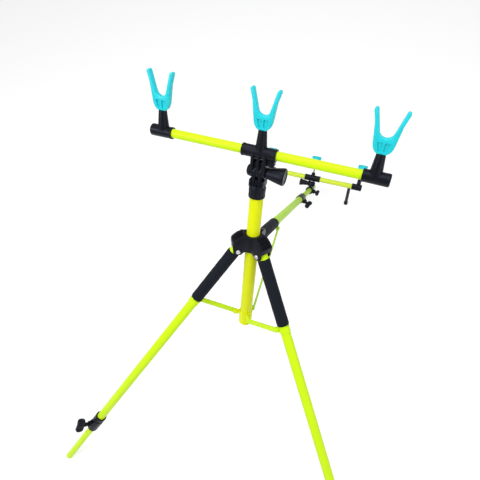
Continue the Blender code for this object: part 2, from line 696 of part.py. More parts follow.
def stay_mesh(length):
    """A flat bar down -Z from its pin on the leg, with its own rivet head at the far end."""
    eye = arc((0, 0), RIVET_RADIUS + PIN_CLEARANCE, 0, 360 - 22.5, 15)
    bar = plate(stadium(length, STAY_HALF_WIDTH), STAY_FAR_FACE, STAY_FACE, [eye])
    seat = -STAY_FAR_FACE
    rivet = rivet_mesh(seat, seat - STAY_THICKNESS / 2)
    rivet = moved(rivet, Matrix.Translation((0, 0, -length)) @ Matrix.Rotation(math.pi / 2, 4, 'X'))
    return shaped(bar, [rivet])


grip = grip_mesh()
clip = clip_mesh()
foot_plug = tip_mesh()
leg_axes = {}
shank_axes = {}
for side, leg in LEGS.items():
    out, down = leg_direction(leg)
    tilt = leg["slope"] - math.pi / 2
    axis = add_empty("leg_" + side + "_axis", stand, out * PIVOT_RADIUS, (0, tilt, leg["azimuth"]))
    leg_axes[side] = axis
    add_part("leg_tube_" + side, upper_tube_mesh(leg), axis, LIME)
    add_part("leg_grip_" + side, grip, axis, FOAM)
    add_part("leg_collar_" + side, collar_mesh(leg), axis, BLACK)
    add_part("stay_clip_" + side, clip, axis, LIME)
    screw_axis = add_empty("leg_screw_" + side + "_axis", axis, (0, 0, screw_height(leg)),
                           (leg["wing_turn"], 0, leg["screw"]))
    leg_screw = wing_screw_mesh(SHANK_RADIUS + CLEARANCE, leg["wing_end"], leg["wing_half"],
                                leg["wing_thick"])
    add_part("leg_screw_" + side, leg_screw, screw_axis, BLACK)

    shank_axis = add_empty("shank_" + side + "_axis", axis, (0, 0, -leg["reach"]))
    shank_axes[side] = shank_axis
    shank = tube(SHANK_RADIUS, SHANK_RADIUS - SHANK_WALL, SHANK_LENGTH, TIP_SHOULDER + CLEARANCE)
    add_part("shank_" + side, shank, shank_axis, LIME)

    # The stay runs from the clip's pin to the cup, in the plane of its leg
    pin_at = Vector((-STAY_OFF_LEG, 0, -STAY_ON_LEG))
    frame = Matrix.Rotation(tilt, 3, 'Y')
    cup_point = frame.inverted() @ Vector((STAY_RADIUS_AT_CUP - PIVOT_RADIUS, 0, STAY_HEIGHT_AT_CUP))
    reach = cup_point - pin_at
    swing = math.atan2(-reach.x, -reach.z)
    stay_axis = add_empty("stay_" + side + "_axis", axis, pin_at, (0, swing, 0))
    add_part("stay_" + side, stay_mesh(reach.length), stay_axis, LIME)


# Foot plugs, each cut flat where it stands on the floor
def floor_cutter():
    return block((-2, -2, -0.05), (2, 2, 0))


def flat_foot(mesh, parent):
    bpy.context.view_layer.update()
    to_foot = parent.matrix_world.inverted()
    return shaped(mesh.copy(), cut=[moved(floor_cutter(), to_foot)])


for side, axis in shank_axes.items():
    add_part("foot_tip_" + side, flat_foot(foot_plug, axis), axis, LIME)


# Head: a sleeve and two plates on the column, three plates under the bar, one bolt and its knob
def knuckle(low_x, high_x, radius, reach):
    """A plate square to X about a pivot at the origin, running along Z to reach."""
    outline = arc((0, 0), radius, 180, 360, 10) if reach > 0 else arc((0, 0), radius, 0, 180, 10)
    outline += [(radius, reach), (-radius, reach)] if reach > 0 else [(-radius, reach), (radius, reach)]
    return moved(plate(outline, low_x, high_x), Matrix.Rotation(-math.pi / 2, 4, 'Z'))


def cross_hole(radius, half_length):
    return along_x(rod(radius, half_length, -half_length, SMALL_STEPS))


def head_base_mesh():
    top = HEAD_BOTTOM + HEAD_SLEEVE_LENGTH
    block_top = HEAD_PIVOT - HEAD_KNUCKLE_RADIUS - HEAD_BLOCK_CLEARANCE
    sleeve = rod(HEAD_TOP_RADIUS, top, HEAD_BOTTOM, end_radius=HEAD_BOTTOM_RADIUS)
    neck = block((-HEAD_SIDE, -HEAD_KNUCKLE_RADIUS, top - 3 * MM),
                 (HEAD_SIDE, HEAD_KNUCKLE_RADIUS, block_top))
    first = HEAD_MIDDLE_PLATE_HALF + CLEARANCE
    last = first + HEAD_PLATE
    pivot = Matrix.Translation((0, 0, HEAD_PIVOT))
    drop = block_top - OVERLAP - HEAD_PIVOT
    sides = ((first, last), (-last, -first))
    plates = [moved(knuckle(a, b, HEAD_KNUCKLE_RADIUS, drop), pivot) for a, b in sides]
    bore = rod(COLUMN_RADIUS + CLEARANCE, COLUMN_TOP + CLEARANCE, HEAD_BOTTOM - RUN_PAST)
    hole = moved(cross_hole(HEAD_BOLT_RADIUS + PIN_CLEARANCE, 2 * HEAD_SIDE), pivot)
    return shaped(sleeve, [neck] + plates, [bore, hole])


def stem_mesh(base_radius, top_radius, height):
    return rod(top_radius, height, 0, TURNED_STEPS, end_radius=base_radius)


def spigot_hole(height, radius=SPIGOT_RADIUS, length=SPIGOT_LENGTH):
    return rod(radius + CLEARANCE, height + RUN_PAST, height - length - CLEARANCE, SMALL_STEPS)


def head_top_mesh():
    """Built about the head's pivot, with the bar's axis above it."""
    rise = BAR_HEIGHT - HEAD_PIVOT
    to_bar = Matrix.Translation((0, 0, rise))
    left, right = -MIDDLE_SLEEVE_LEFT, MIDDLE_SLEEVE_RIGHT
    sleeve = moved(along_x(rod(MIDDLE_SLEEVE_RADIUS, right, left)), to_bar)
    outer = HEAD_SIDE - HEAD_PLATE
    middle = HEAD_MIDDLE_PLATE_HALF
    spans = ((-HEAD_SIDE, -outer), (-middle, middle), (outer, HEAD_SIDE))
    plates = [knuckle(a, b, HEAD_KNUCKLE_RADIUS, rise) for a, b in spans]
    boss_low = rise - MIDDLE_SLEEVE_RADIUS - 9.5 * MM
    boss = block((HEAD_SIDE - OVERLAP, -HEAD_BOSS_HALF, boss_low),
                 (HEAD_SIDE + HEAD_BOSS_LENGTH, HEAD_BOSS_HALF, rise))
    stem = moved(stem_mesh(STEM_BASE_RADIUS, STEM_TOP_RADIUS, STEM_HEIGHT), to_bar)
    bore = moved(along_x(rod(BAR_RADIUS + CLEARANCE, right + RUN_PAST, left - RUN_PAST)), to_bar)
    bolt_hole = cross_hole(HEAD_BOLT_RADIUS + PIN_CLEARANCE, 2 * HEAD_SIDE)
    return shaped(sleeve, [*plates, boss, stem], [bore, bolt_hole, moved(spigot_hole(STEM_HEIGHT), to_bar)])


def head_cap_mesh():
    """The domed cap over the bolt's far end, built along Z and laid towards -X."""
    hole = HEAD_BOLT_RADIUS + CLEARANCE
    rim = HEAD_CAP_RADIUS
    deep = HEAD_CAP_LENGTH - 3 * MM
    profile = [(0, HEAD_CAP_LENGTH), (rim * 0.6, HEAD_CAP_LENGTH - 0.8 * MM),
               (rim * 0.9, HEAD_CAP_LENGTH - 2.8 * MM),
               (rim, HEAD_CAP_LENGTH - 5 * MM), (rim, 0), (hole, 0), (hole, deep), (0, deep)]
    cap = turned(profile, TURNED_STEPS)
    place = Matrix.Translation((-HEAD_SIDE - CLEARANCE, 0, 0)) @ Matrix.Rotation(-math.pi / 2, 4, 'Y')
    return moved(cap, place)


def head_bolt_mesh():
    near = HEAD_SIDE + HEAD_CAP_LENGTH - 3 * MM
    far = HEAD_SIDE + CLEARANCE + HEAD_BOLT_IN_KNOB
    return along_x(rod(HEAD_BOLT_RADIUS, far, -near, SMALL_STEPS))


def head_knob_mesh():
    start = HEAD_SIDE + CLEARANCE
    end = start + HEAD_KNOB_LENGTH
    hole = HEAD_BOLT_RADIUS + CLEARANCE
    neck, rim = HEAD_KNOB_NECK_RADIUS, HEAD_KNOB_RADIUS
    deep = start + HEAD_BOLT_IN_KNOB + CLEARANCE
    profile = [(0, end), (rim - 3 * MM, end), (rim - 0.6 * MM, end - 1.2 * MM), (rim, end - 3.5 * MM),
               ((neck + rim) / 2, start + HEAD_KNOB_LENGTH / 2), (neck, start + 3 * MM),
               (neck - 1 * MM, start),
               (hole, start), (hole, deep), (0, deep)]
    return along_x(turned(profile))


head_axis = add_empty("head_axis", column_axis, (0, 0, HEAD_PIVOT), (0, 0, BAR_YAW))
bar_axis = add_empty("bar_tilt_axis", column_axis, (0, 0, HEAD_PIVOT), (0, 0, BAR_YAW))
add_part("head_base", head_base_mesh(), column_axis, BLACK, (0, 0, 0), (0, 0, BAR_YAW))
add_part("head_top", head_top_mesh(), bar_axis, BLACK)
add_part("head_cap", head_cap_mesh(), bar_axis, BLACK)
add_part("head_bolt", head_bolt_mesh(), head_axis, STEEL)
add_part("head_knob", head_knob_mesh(), head_axis, BLACK)


# Bars and the fittings on their ends
def end_fitting_mesh(sleeve_radius, bar_radius, inner, outer, stem_base, stem_top, hole):
    """A sleeve closed at its outer end, with a stem at its own origin on the bar's axis."""
    bore = bar_radius + CLEARANCE
    floor = outer - END_SLEEVE_SKIN
    solid = turned([(0, outer), (sleeve_radius - 1.8 * MM, outer),
                    (sleeve_radius - 0.5 * MM, outer - 0.6 * MM),
                    (sleeve_radius, outer - 2 * MM), (sleeve_radius, -inner), (0, -inner)])
    stem = stem_mesh(stem_base, stem_top, STEM_HEIGHT)
    clear = along_x(rod(bore, floor, -inner - RUN_PAST))
    return shaped(along_x(solid), [stem], [clear, hole]), floor


def half_turn(mesh):
    return moved(mesh.copy(), Matrix.Rotation(math.pi, 4, 'Z'))


def bar_mesh(radius, half):
    return along_x(tube(radius, radius - BAR_WALL, half, -half))


rise = (0, 0, BAR_HEIGHT - HEAD_PIVOT)
front_end, front_floor = end_fitting_mesh(END_SLEEVE_RADIUS, BAR_RADIUS, END_SLEEVE_INNER, END_SLEEVE_OUTER,
                                          STEM_BASE_RADIUS, STEM_TOP_RADIUS, spigot_hole(STEM_HEIGHT))
add_part("bar_tube", bar_mesh(BAR_RADIUS, REST_SPACING + front_floor - CLEARANCE), bar_axis, LIME, rise)
add_part("bar_end_right", front_end, bar_axis, BLACK, (REST_SPACING, 0, rise[2]))
add_part("bar_end_left", half_turn(front_end), bar_axis, BLACK, (-REST_SPACING, 0, rise[2]))


# V rests: one flat-sided moulding with four shallow panels and a spigot that turns in the stem
def v_outline():
    tip_centre = (V_TIP_SPREAD, V_HEIGHT - V_TIP_RADIUS)
    notch_centre = (0, V_NOTCH_HEIGHT + V_NOTCH_RADIUS)
    half = [(V_FOOT_HALF, CLEARANCE), (V_BELLY_HALF - 5 * MM, V_BELLY_HEIGHT - 12 * MM),
            (V_BELLY_HALF - 1.5 * MM, V_BELLY_HEIGHT - 6 * MM), (V_BELLY_HALF, V_BELLY_HEIGHT),
            (V_WAIST_HALF, V_WAIST_HEIGHT)]
    half += arc(tip_centre, V_TIP_RADIUS, -10, 160, 8)
    half += arc(notch_centre, V_NOTCH_RADIUS, -20, -90, 5)
    left = [(-x, z) for x, z in reversed(half[:-1])]
    return half + left


def v_rest_mesh():
    low, high = V_PANEL_BOTTOM, V_PANEL_TOP
    panel = [(V_RIB_HALF, low), (V_FOOT_HALF, low), (V_BELLY_HALF - 6 * MM, high), (V_RIB_HALF, high)]
    mirrored = [(-x, z) for x, z in reversed(panel)]
    skin = V_HALF_DEPTH - V_PANEL_DEPTH
    beyond = V_HALF_DEPTH + RUN_PAST
    faces = ((skin, beyond), (-beyond, -skin))
    panels = [plate(shape, a, b) for shape in (panel, mirrored) for a, b in faces]
    body = bevelled(plate(v_outline(), -V_HALF_DEPTH, V_HALF_DEPTH), 1 * MM, 1)
    return shaped(body, [rod(SPIGOT_RADIUS, V_PANEL_BOTTOM / 2, -SPIGOT_LENGTH, SMALL_STEPS)], panels)


v_rest = v_rest_mesh()
for name, x in (("left", -REST_SPACING), ("middle", 0), ("right", REST_SPACING)):
    rest_axis = add_empty("v_rest_" + name + "_axis", bar_axis, (x, 0, rise[2] + STEM_HEIGHT))
    add_part("v_rest_" + name, v_rest, rest_axis, CYAN)


# Rear clamp: a ring on the rear leg's lower tube, its knuckle, its screw and the tilting rear bar
def rear_clamp_mesh():
    """Built about the leg's axis, with the knuckle towards +X and the hinge along Y."""
    half = REAR_CLAMP_LENGTH / 2
    ring = rod(REAR_CLAMP_RADIUS, half, -half)
    bore = rod(SHANK_RADIUS + CLEARANCE, half + RUN_PAST, -half - RUN_PAST)
    root = SHANK_RADIUS + CLEARANCE + OVERLAP
    radius = REAR_KNUCKLE_RADIUS
    outline = arc((REAR_PIVOT_OFF_LEG, 0), radius, -90, 90, 10) + [(root, radius), (root, -radius)]
    knuckle_plate = plate(outline, -REAR_KNUCKLE_HALF, REAR_KNUCKLE_HALF)
    place = Matrix.Rotation(REAR_SCREW_ANGLE, 4, 'Z')
    pivot_hole = along_y(rod(HEAD_BOLT_RADIUS + PIN_CLEARANCE, RUN_PAST, -RUN_PAST, SMALL_STEPS))
    pivot_hole = moved(pivot_hole, Matrix.Translation((REAR_PIVOT_OFF_LEG, 0, 0)))
    return shaped(ring, [knuckle_plate, moved(screw_boss(SHANK_RADIUS), place)],
                  [bore, moved(screw_hole(), place), pivot_hole])


def rear_sleeve_mesh():
    """Built about the rear hinge: X along the bar, Z away from the leg."""
    lift = REAR_BAR_OFF_LEG - REAR_PIVOT_OFF_LEG
    to_bar = Matrix.Translation((0, 0, lift))
    half = REAR_SLEEVE_HALF
    sleeve = moved(along_x(rod(REAR_SLEEVE_RADIUS, half, -half)), to_bar)
    near = REAR_KNUCKLE_HALF + CLEARANCE
    plates = [knuckle(a, b, REAR_KNUCKLE_RADIUS, lift) for a, b in ((near, REAR_SIDE), (-REAR_SIDE, -near))]
    stem = moved(stem_mesh(REAR_STEM_BASE_RADIUS, REAR_STEM_TOP_RADIUS, REAR_STUB_HEIGHT), to_bar)
    hole = moved(spigot_hole(REAR_STUB_HEIGHT, REAR_SPIGOT_RADIUS, REAR_SPIGOT_LENGTH), to_bar)
    bore = moved(along_x(rod(REAR_BAR_RADIUS + CLEARANCE, half + RUN_PAST, -half - RUN_PAST)), to_bar)
    bolt_hole = cross_hole(HEAD_BOLT_RADIUS + PIN_CLEARANCE, 2 * REAR_SIDE)
    return shaped(sleeve, [*plates, stem], [bore, bolt_hole, hole])


def rear_knob_mesh():
    """The knob and its bolt in one piece: the knob lies towards -X and the bolt's head towards +X."""
    start = REAR_SIDE + CLEARANCE
    end = start + REAR_KNOB_LENGTH
    rim = REAR_KNOB_RADIUS
    head = REAR_SIDE + CLEARANCE
    waist = REAR_KNOB_WAIST
    profile = [(0, end), (rim - 3 * MM, end), (rim - 0.8 * MM, end - 1.2 * MM), (rim, end - 4 * MM),
               (waist, REAR_SLEEVE_HALF + OVERLAP / 2), (waist - 1 * MM, start + 8 * MM),
               (REAR_KNOB_NECK, start + 4 * MM), (REAR_KNOB_NECK, start),
               (HEAD_BOLT_RADIUS, start), (HEAD_BOLT_RADIUS, -head), (REAR_KNOB_NECK, -head),
               (REAR_KNOB_NECK, -head - 3 * MM), (0, -head - 3 * MM)]
    return moved(turned(profile, TURNED_STEPS), Matrix.Rotation(-math.pi / 2, 4, 'Y'))


def butt_cup_mesh(on_stud):
    foot, rim = BUTT_CUP_FOOT_RADIUS, BUTT_CUP_RADIUS
    inner = rim - BUTT_CUP_WALL
    top = BUTT_CUP_HEIGHT
    profile = [(0, BUTT_CUP_FLOOR), (inner - 3 * MM, BUTT_CUP_FLOOR), (inner, BUTT_CUP_FLOOR + 4 * MM),
               (inner, top - 1 * MM), (inner + 0.8 * MM, top), (rim - 0.8 * MM, top), (rim, top - 1 * MM),
               (rim, BUTT_CUP_SHOULDER + 6 * MM), (rim - 3 * MM, BUTT_CUP_SHOULDER), (foot, CLEARANCE)]
    peg, length = REAR_SPIGOT_RADIUS, REAR_SPIGOT_LENGTH
    if on_stud:
        profile += [(peg + CLEARANCE, CLEARANCE), (peg + CLEARANCE, length), (0, length)]
    else:
        profile += [(peg, CLEARANCE), (peg, -length), (0, -length)]
    return turned(profile, TURNED_STEPS)


def rear_stud_mesh():
    """The steel stud between the short middle stem and its cup, from the bar's axis up."""
    low = REAR_STUB_HEIGHT - REAR_SPIGOT_LENGTH
    return rod(REAR_SPIGOT_RADIUS, STEM_HEIGHT + REAR_SPIGOT_LENGTH - CLEARANCE, low, SMALL_STEPS)


def prop_mesh(length):
    """The small leg under the rear bar: a rod with a saddled top and a spigot into the bar's lower wall."""
    bar = REAR_BAR_RADIUS + CLEARANCE
    shaft = rod(PROP_RADIUS, -bar / 2, -length + PROP_TIP_LENGTH - PROP_TIP_OVERLAP, TURNED_STEPS)
    spigot = rod(PROP_SPIGOT_RADIUS, PROP_SPIGOT_RISE - REAR_BAR_RADIUS, -bar - RUN_PAST, SMALL_STEPS)
    bar_clear = moved(along_x(rod(bar, 2 * bar, -2 * bar)), Matrix.Rotation(FACET_TURN, 4, 'X'))
    return shaped(shaped(shaft, cut=[bar_clear]), [spigot])


def prop_hole():
    return rod(PROP_SPIGOT_RADIUS + CLEARANCE, 0, -2 * REAR_BAR_RADIUS, SMALL_STEPS)


def prop_tip_mesh(length):
    bottom = -length
    top = bottom + PROP_TIP_LENGTH
    inner = PROP_RADIUS + CLEARANCE
    seat = top - PROP_TIP_OVERLAP - CLEARANCE
    profile = [(inner, top), (PROP_TIP_RADIUS - 0.8 * MM, top), (PROP_TIP_RADIUS, top - 1.5 * MM),
               (PROP_TIP_RADIUS, bottom + 1.5 * MM), (PROP_TIP_RADIUS - 1 * MM, bottom), (0, bottom)]
    profile = [(0, seat), (inner, seat)] + profile
    return turned(profile, TURNED_STEPS)


rear_leg_axis = shank_axes["rear"]
clamp_height = LEGS["rear"]["reach"] - REAR_CLAMP_AT
clamp_axis = add_empty("rear_clamp_axis", rear_leg_axis, (0, 0, clamp_height))
add_part("rear_clamp", rear_clamp_mesh(), clamp_axis, BLACK)
rear_screw_axis = add_empty("rear_screw_axis", clamp_axis, (0, 0, 0),
                            (REAR_SCREW_TURN, 0, REAR_SCREW_ANGLE))
clamp_screw = wing_screw_mesh(SHANK_RADIUS + CLEARANCE, REAR_SCREW_END, REAR_SCREW_HALF,
                              REAR_SCREW_THICKNESS)
add_part("rear_clamp_screw", clamp_screw, rear_screw_axis, BLACK)

# The rear hinge's frame turns the leg's own frame so that X runs along the bar and Z away from the leg
hinge_turn = Matrix(((0, 0, 1), (-1, 0, 0), (0, -1, 0))).to_euler()
rear_bar_axis = add_empty("rear_bar_tilt_axis", clamp_axis, (REAR_PIVOT_OFF_LEG, 0, 0), hinge_turn)
rear_knob_axis = add_empty("rear_knob_axis", clamp_axis, (REAR_PIVOT_OFF_LEG, 0, 0), hinge_turn)
rear_lift = REAR_BAR_OFF_LEG - REAR_PIVOT_OFF_LEG
add_part("rear_sleeve", rear_sleeve_mesh(), rear_bar_axis, BLACK)
add_part("rear_tilt_knob", rear_knob_mesh(), rear_knob_axis, BLACK)
rear_hole = spigot_hole(STEM_HEIGHT, REAR_SPIGOT_RADIUS, REAR_SPIGOT_LENGTH)
rear_end, rear_floor = end_fitting_mesh(REAR_SLEEVE_RADIUS, REAR_BAR_RADIUS, REAR_END_INNER, REAR_END_OUTER,
                                        REAR_STEM_BASE_RADIUS, REAR_STEM_TOP_RADIUS, rear_hole)
add_part("rear_end_right", rear_end, rear_bar_axis, BLACK, (REAR_SPACING, 0, rear_lift))
add_part("rear_end_left", half_turn(rear_end), rear_bar_axis, BLACK, (-REAR_SPACING, 0, rear_lift))

add_part("rear_stud", rear_stud_mesh(), rear_bar_axis, STEEL, (0, 0, rear_lift))
butt_cups = {False: butt_cup_mesh(False), True: butt_cup_mesh(True)}
for name, x in (("left", -REAR_SPACING), ("middle", 0), ("right", REAR_SPACING)):
    cup_axis = add_empty("butt_cup_" + name + "_axis", rear_bar_axis, (x, 0, rear_lift + STEM_HEIGHT))
    add_part("butt_cup_" + name, butt_cups[x == 0], cup_axis, CYAN)

# The prop stands upright under the rear bar, in a hole of its lower wall
bpy.context.view_layer.update()
bar_centre = rear_bar_axis.matrix_world @ Vector((0, 0, rear_lift))
upright = rear_bar_axis.matrix_world.to_3x3().inverted()
prop_axis = add_empty("prop_axis", rear_bar_axis, (PROP_OFFSET, 0, rear_lift), upright.to_euler())
add_part("prop", prop_mesh(bar_centre.z), prop_axis, BLACK)
add_part("prop_tip", prop_tip_mesh(bar_centre.z), prop_axis, RUBBER)
hole = moved(prop_hole(), Matrix.Translation((PROP_OFFSET, 0, 0)) @ upright.to_4x4())
rear_tube = shaped(bar_mesh(REAR_BAR_RADIUS, REAR_SPACING + rear_floor - CLEARANCE), cut=[hole])
add_part("rear_bar_tube", rear_tube, rear_bar_axis, LIME, (0, 0, rear_lift))


# The stand moves along the floor until the middle of its bounding box is over the origin
def centre_on_floor():
    bpy.context.view_layer.update()
    depsgraph = bpy.context.evaluated_depsgraph_get()
    lows, highs = [], []
    for part in PARTS.objects:
        if part.type != 'MESH':
            continue
        mesh = part.evaluated_get(depsgraph).data
        points = np.empty(3 * len(mesh.vertices))
        mesh.vertices.foreach_get("co", points)
        world = np.array(part.matrix_world)
        placed = points.reshape(-1, 3) @ world[:3, :3].T + world[:3, 3]
        lows.append(placed.min(axis=0))
        highs.append(placed.max(axis=0))
    middle = (np.min(lows, axis=0) + np.max(highs, axis=0)) / 2
    stand.location.x -= middle[0]
    stand.location.y -= middle[1]
    bpy.context.view_layer.update()


centre_on_floor()
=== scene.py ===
"""A leaning fishing-rod tripod: folding telescopic legs, a tilting front bar and a low rear bar.

The pieces are made in the order in which the tripod is put together. Lengths are in metres, and each piece
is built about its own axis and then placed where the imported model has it.
"""

import json
import math

import bmesh
import bpy
from mathutils import Matrix, Vector


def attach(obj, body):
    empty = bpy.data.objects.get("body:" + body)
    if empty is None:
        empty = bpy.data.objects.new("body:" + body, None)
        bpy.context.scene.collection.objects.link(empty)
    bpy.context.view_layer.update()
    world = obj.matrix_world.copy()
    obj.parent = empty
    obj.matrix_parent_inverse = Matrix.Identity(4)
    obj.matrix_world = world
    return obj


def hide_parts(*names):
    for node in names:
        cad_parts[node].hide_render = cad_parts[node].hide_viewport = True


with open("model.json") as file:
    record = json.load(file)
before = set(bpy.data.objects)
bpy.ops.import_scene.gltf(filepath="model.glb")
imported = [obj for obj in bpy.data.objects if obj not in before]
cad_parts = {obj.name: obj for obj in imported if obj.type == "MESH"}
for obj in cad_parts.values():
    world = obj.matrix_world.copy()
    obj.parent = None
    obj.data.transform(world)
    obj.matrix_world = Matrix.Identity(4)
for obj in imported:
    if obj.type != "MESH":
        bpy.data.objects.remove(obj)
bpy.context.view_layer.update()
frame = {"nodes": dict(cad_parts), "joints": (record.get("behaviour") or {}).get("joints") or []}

# The stance: the whole stand leans back about the X axis, so the column's own frame has Z up the column and
# the leg pivots at Z = 0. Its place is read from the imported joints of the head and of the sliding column.
MM = 0.001
HEAD_PIVOT = 182 * MM

joints = {joint["name"]: joint for joint in frame["joints"]}
column_down = Vector(joints["column_slide"]["axis"])
LEAN = math.atan2(-column_down.y, -column_down.z)
hub_centre = Vector(joints["head_tilt"]["pos_m"]) + column_down * HEAD_PIVOT
stand = Matrix.Translation(hub_centre) @ Matrix.Rotation(-LEAN, 4, 'X')


# Column: one straight drawn aluminium tube, powder coated in the legs' yellow-green. Its colour is a yellower
# copy of the leg coat, and that shift is painted light. It slides through the hub, and the head and the lower
# cup close its two ends.
COLUMN_RADIUS = 14.5 * MM
COLUMN_WALL = 1.5 * MM
COLUMN_TOP = 152 * MM
COLUMN_FOOT = -231.7 * MM
COLUMN_LIT_COLOUR = (0.80, 0.87, 0.004)
TUBE_EDGE = 0.4 * MM
ON_AXIS = 1e-7
SEAM_SHIFT = 0.31
NEARLY_STRAIGHT = math.radians(168)
CORNER_SHARE = 0.45
CORNER_STEPS = (0, 0.33, 0.67, 1)
CREASE = math.radians(32)


def turned(profile, steps=56, closed=False, wave=None):
    """A mesh spun about Z from (radius, height) points that run down its outer side."""
    bm = bmesh.new()
    rings = []
    for radius, height in profile:
        if radius < ON_AXIS:
            rings.append([bm.verts.new((0, 0, height))])
            continue
        ring = []
        for i in range(steps):
            angle = math.tau * (i + SEAM_SHIFT) / steps
            reach = radius * (wave(angle, height) if wave else 1)
            ring.append(bm.verts.new((reach * math.cos(angle), reach * math.sin(angle), height)))
        rings.append(ring)
    if closed:
        rings.append(rings[0])
    for upper, lower in zip(rings, rings[1:]):
        for i in range(steps):
            j = (i + 1) % steps
            corners = [upper[i % len(upper)], lower[i % len(lower)],
                       lower[j % len(lower)], upper[j % len(upper)]]
            corners = list(dict.fromkeys(corners))
            if len(corners) > 2:
                bm.faces.new(corners)
    bmesh.ops.recalc_face_normals(bm, faces=bm.faces)
    mesh = bpy.data.meshes.new("turned")
    bm.to_mesh(mesh)
    bm.free()
    return mesh


def eased(points, cut, closed=False):
    """The outline with its corners rounded off, each over a length of about cut."""
    result = []
    for i, point in enumerate(points):
        here = Vector(point)
        if not closed and i in (0, len(points) - 1):
            result.append(tuple(point))
            continue
        before = Vector(points[i - 1]) - here
        after = Vector(points[(i + 1) % len(points)]) - here
        if before.angle(after) > NEARLY_STRAIGHT:
            result.append(tuple(point))
            continue
        reach = min(cut, before.length * CORNER_SHARE, after.length * CORNER_SHARE)
        start = here + before.normalized() * reach
        end = here + after.normalized() * reach
        for t in CORNER_STEPS:
            result.append(tuple(start * (1 - t) ** 2 + here * 2 * t * (1 - t) + end * t * t))
    return result


def tube(outer, inner, top, bottom, steps=56):
    """A round pipe about Z with softened rims."""
    ring = [(outer, top), (outer, bottom), (inner, bottom), (inner, top)]
    return turned(eased(ring, TUBE_EDGE, True), steps, closed=True)


def effect(name, inputs, outputs):
    """An empty shader group with its named sockets, and its two end nodes."""
    tree = bpy.data.node_groups.new(name, 'ShaderNodeTree')
    for label, kind, value in inputs:
        socket = tree.interface.new_socket(label, in_out='INPUT', socket_type=kind)
        socket.default_value = value
    for label, kind in outputs:
        tree.interface.new_socket(label, in_out='OUTPUT', socket_type=kind)
    return tree, tree.nodes.new('NodeGroupInput'), tree.nodes.new('NodeGroupOutput')


def add_node(tree, kind, **settings):
    """A new node with its own settings; a key that names a socket sets that socket."""
    node = tree.nodes.new(kind)
    for key, value in settings.items():
        if hasattr(node, key):
            setattr(node, key, value)
        else:
            node.inputs[key.replace("_", " ")].default_value = value
    return node


def tone_effect():
    """Slow drift of a colour over the piece, with a mask of the same drift for the roughness."""
    tree, given, out = effect("tone drift", [
        ("Colour", 'NodeSocketColor', (1, 1, 1, 1)),
        ("Scale", 'NodeSocketFloat', 30.0),
        ("Depth", 'NodeSocketFloat', 0.08),
    ], [("Colour", 'NodeSocketColor'), ("Mask", 'NodeSocketFloat')])
    place = add_node(tree, 'ShaderNodeTexCoord')
    noise = add_node(tree, 'ShaderNodeTexNoise', Detail=3.0, Roughness=0.55)
    centred = add_node(tree, 'ShaderNodeMath', operation='SUBTRACT')
    centred.inputs[1].default_value = 0.5
    deep = add_node(tree, 'ShaderNodeMath', operation='MULTIPLY')
    lift = add_node(tree, 'ShaderNodeMath', operation='MULTIPLY_ADD')
    lift.inputs[1].default_value = 2.0
    lift.inputs[2].default_value = 1.0
    scale = add_node(tree, 'ShaderNodeVectorMath', operation='SCALE')
    link = tree.links.new
    link(place.outputs["Object"], noise.inputs["Vector"])
    link(given.outputs["Scale"], noise.inputs["Scale"])
    link(noise.outputs["Fac"], centred.inputs[0])
    link(centred.outputs[0], deep.inputs[0])
    link(given.outputs["Depth"], deep.inputs[1])
    link(deep.outputs[0], lift.inputs[0])
    link(given.outputs["Colour"], scale.inputs[0])
    link(lift.outputs[0], scale.inputs["Scale"])
    link(scale.outputs[0], out.inputs["Colour"])
    link(noise.outputs["Fac"], out.inputs["Mask"])
    return tree


def grain_effect():
    """The height of a fine moulded or sprayed skin."""
    tree, given, out = effect("skin grain", [
        ("Scale", 'NodeSocketFloat', 900.0),
        ("Detail", 'NodeSocketFloat', 2.0),
    ], [("Height", 'NodeSocketFloat')])
    place = add_node(tree, 'ShaderNodeTexCoord')
    noise = add_node(tree, 'ShaderNodeTexNoise', Roughness=0.6)
    tree.links.new(place.outputs["Object"], noise.inputs["Vector"])
    tree.links.new(given.outputs["Scale"], noise.inputs["Scale"])
    tree.links.new(given.outputs["Detail"], noise.inputs["Detail"])
    tree.links.new(noise.outputs["Fac"], out.inputs["Height"])
    return tree


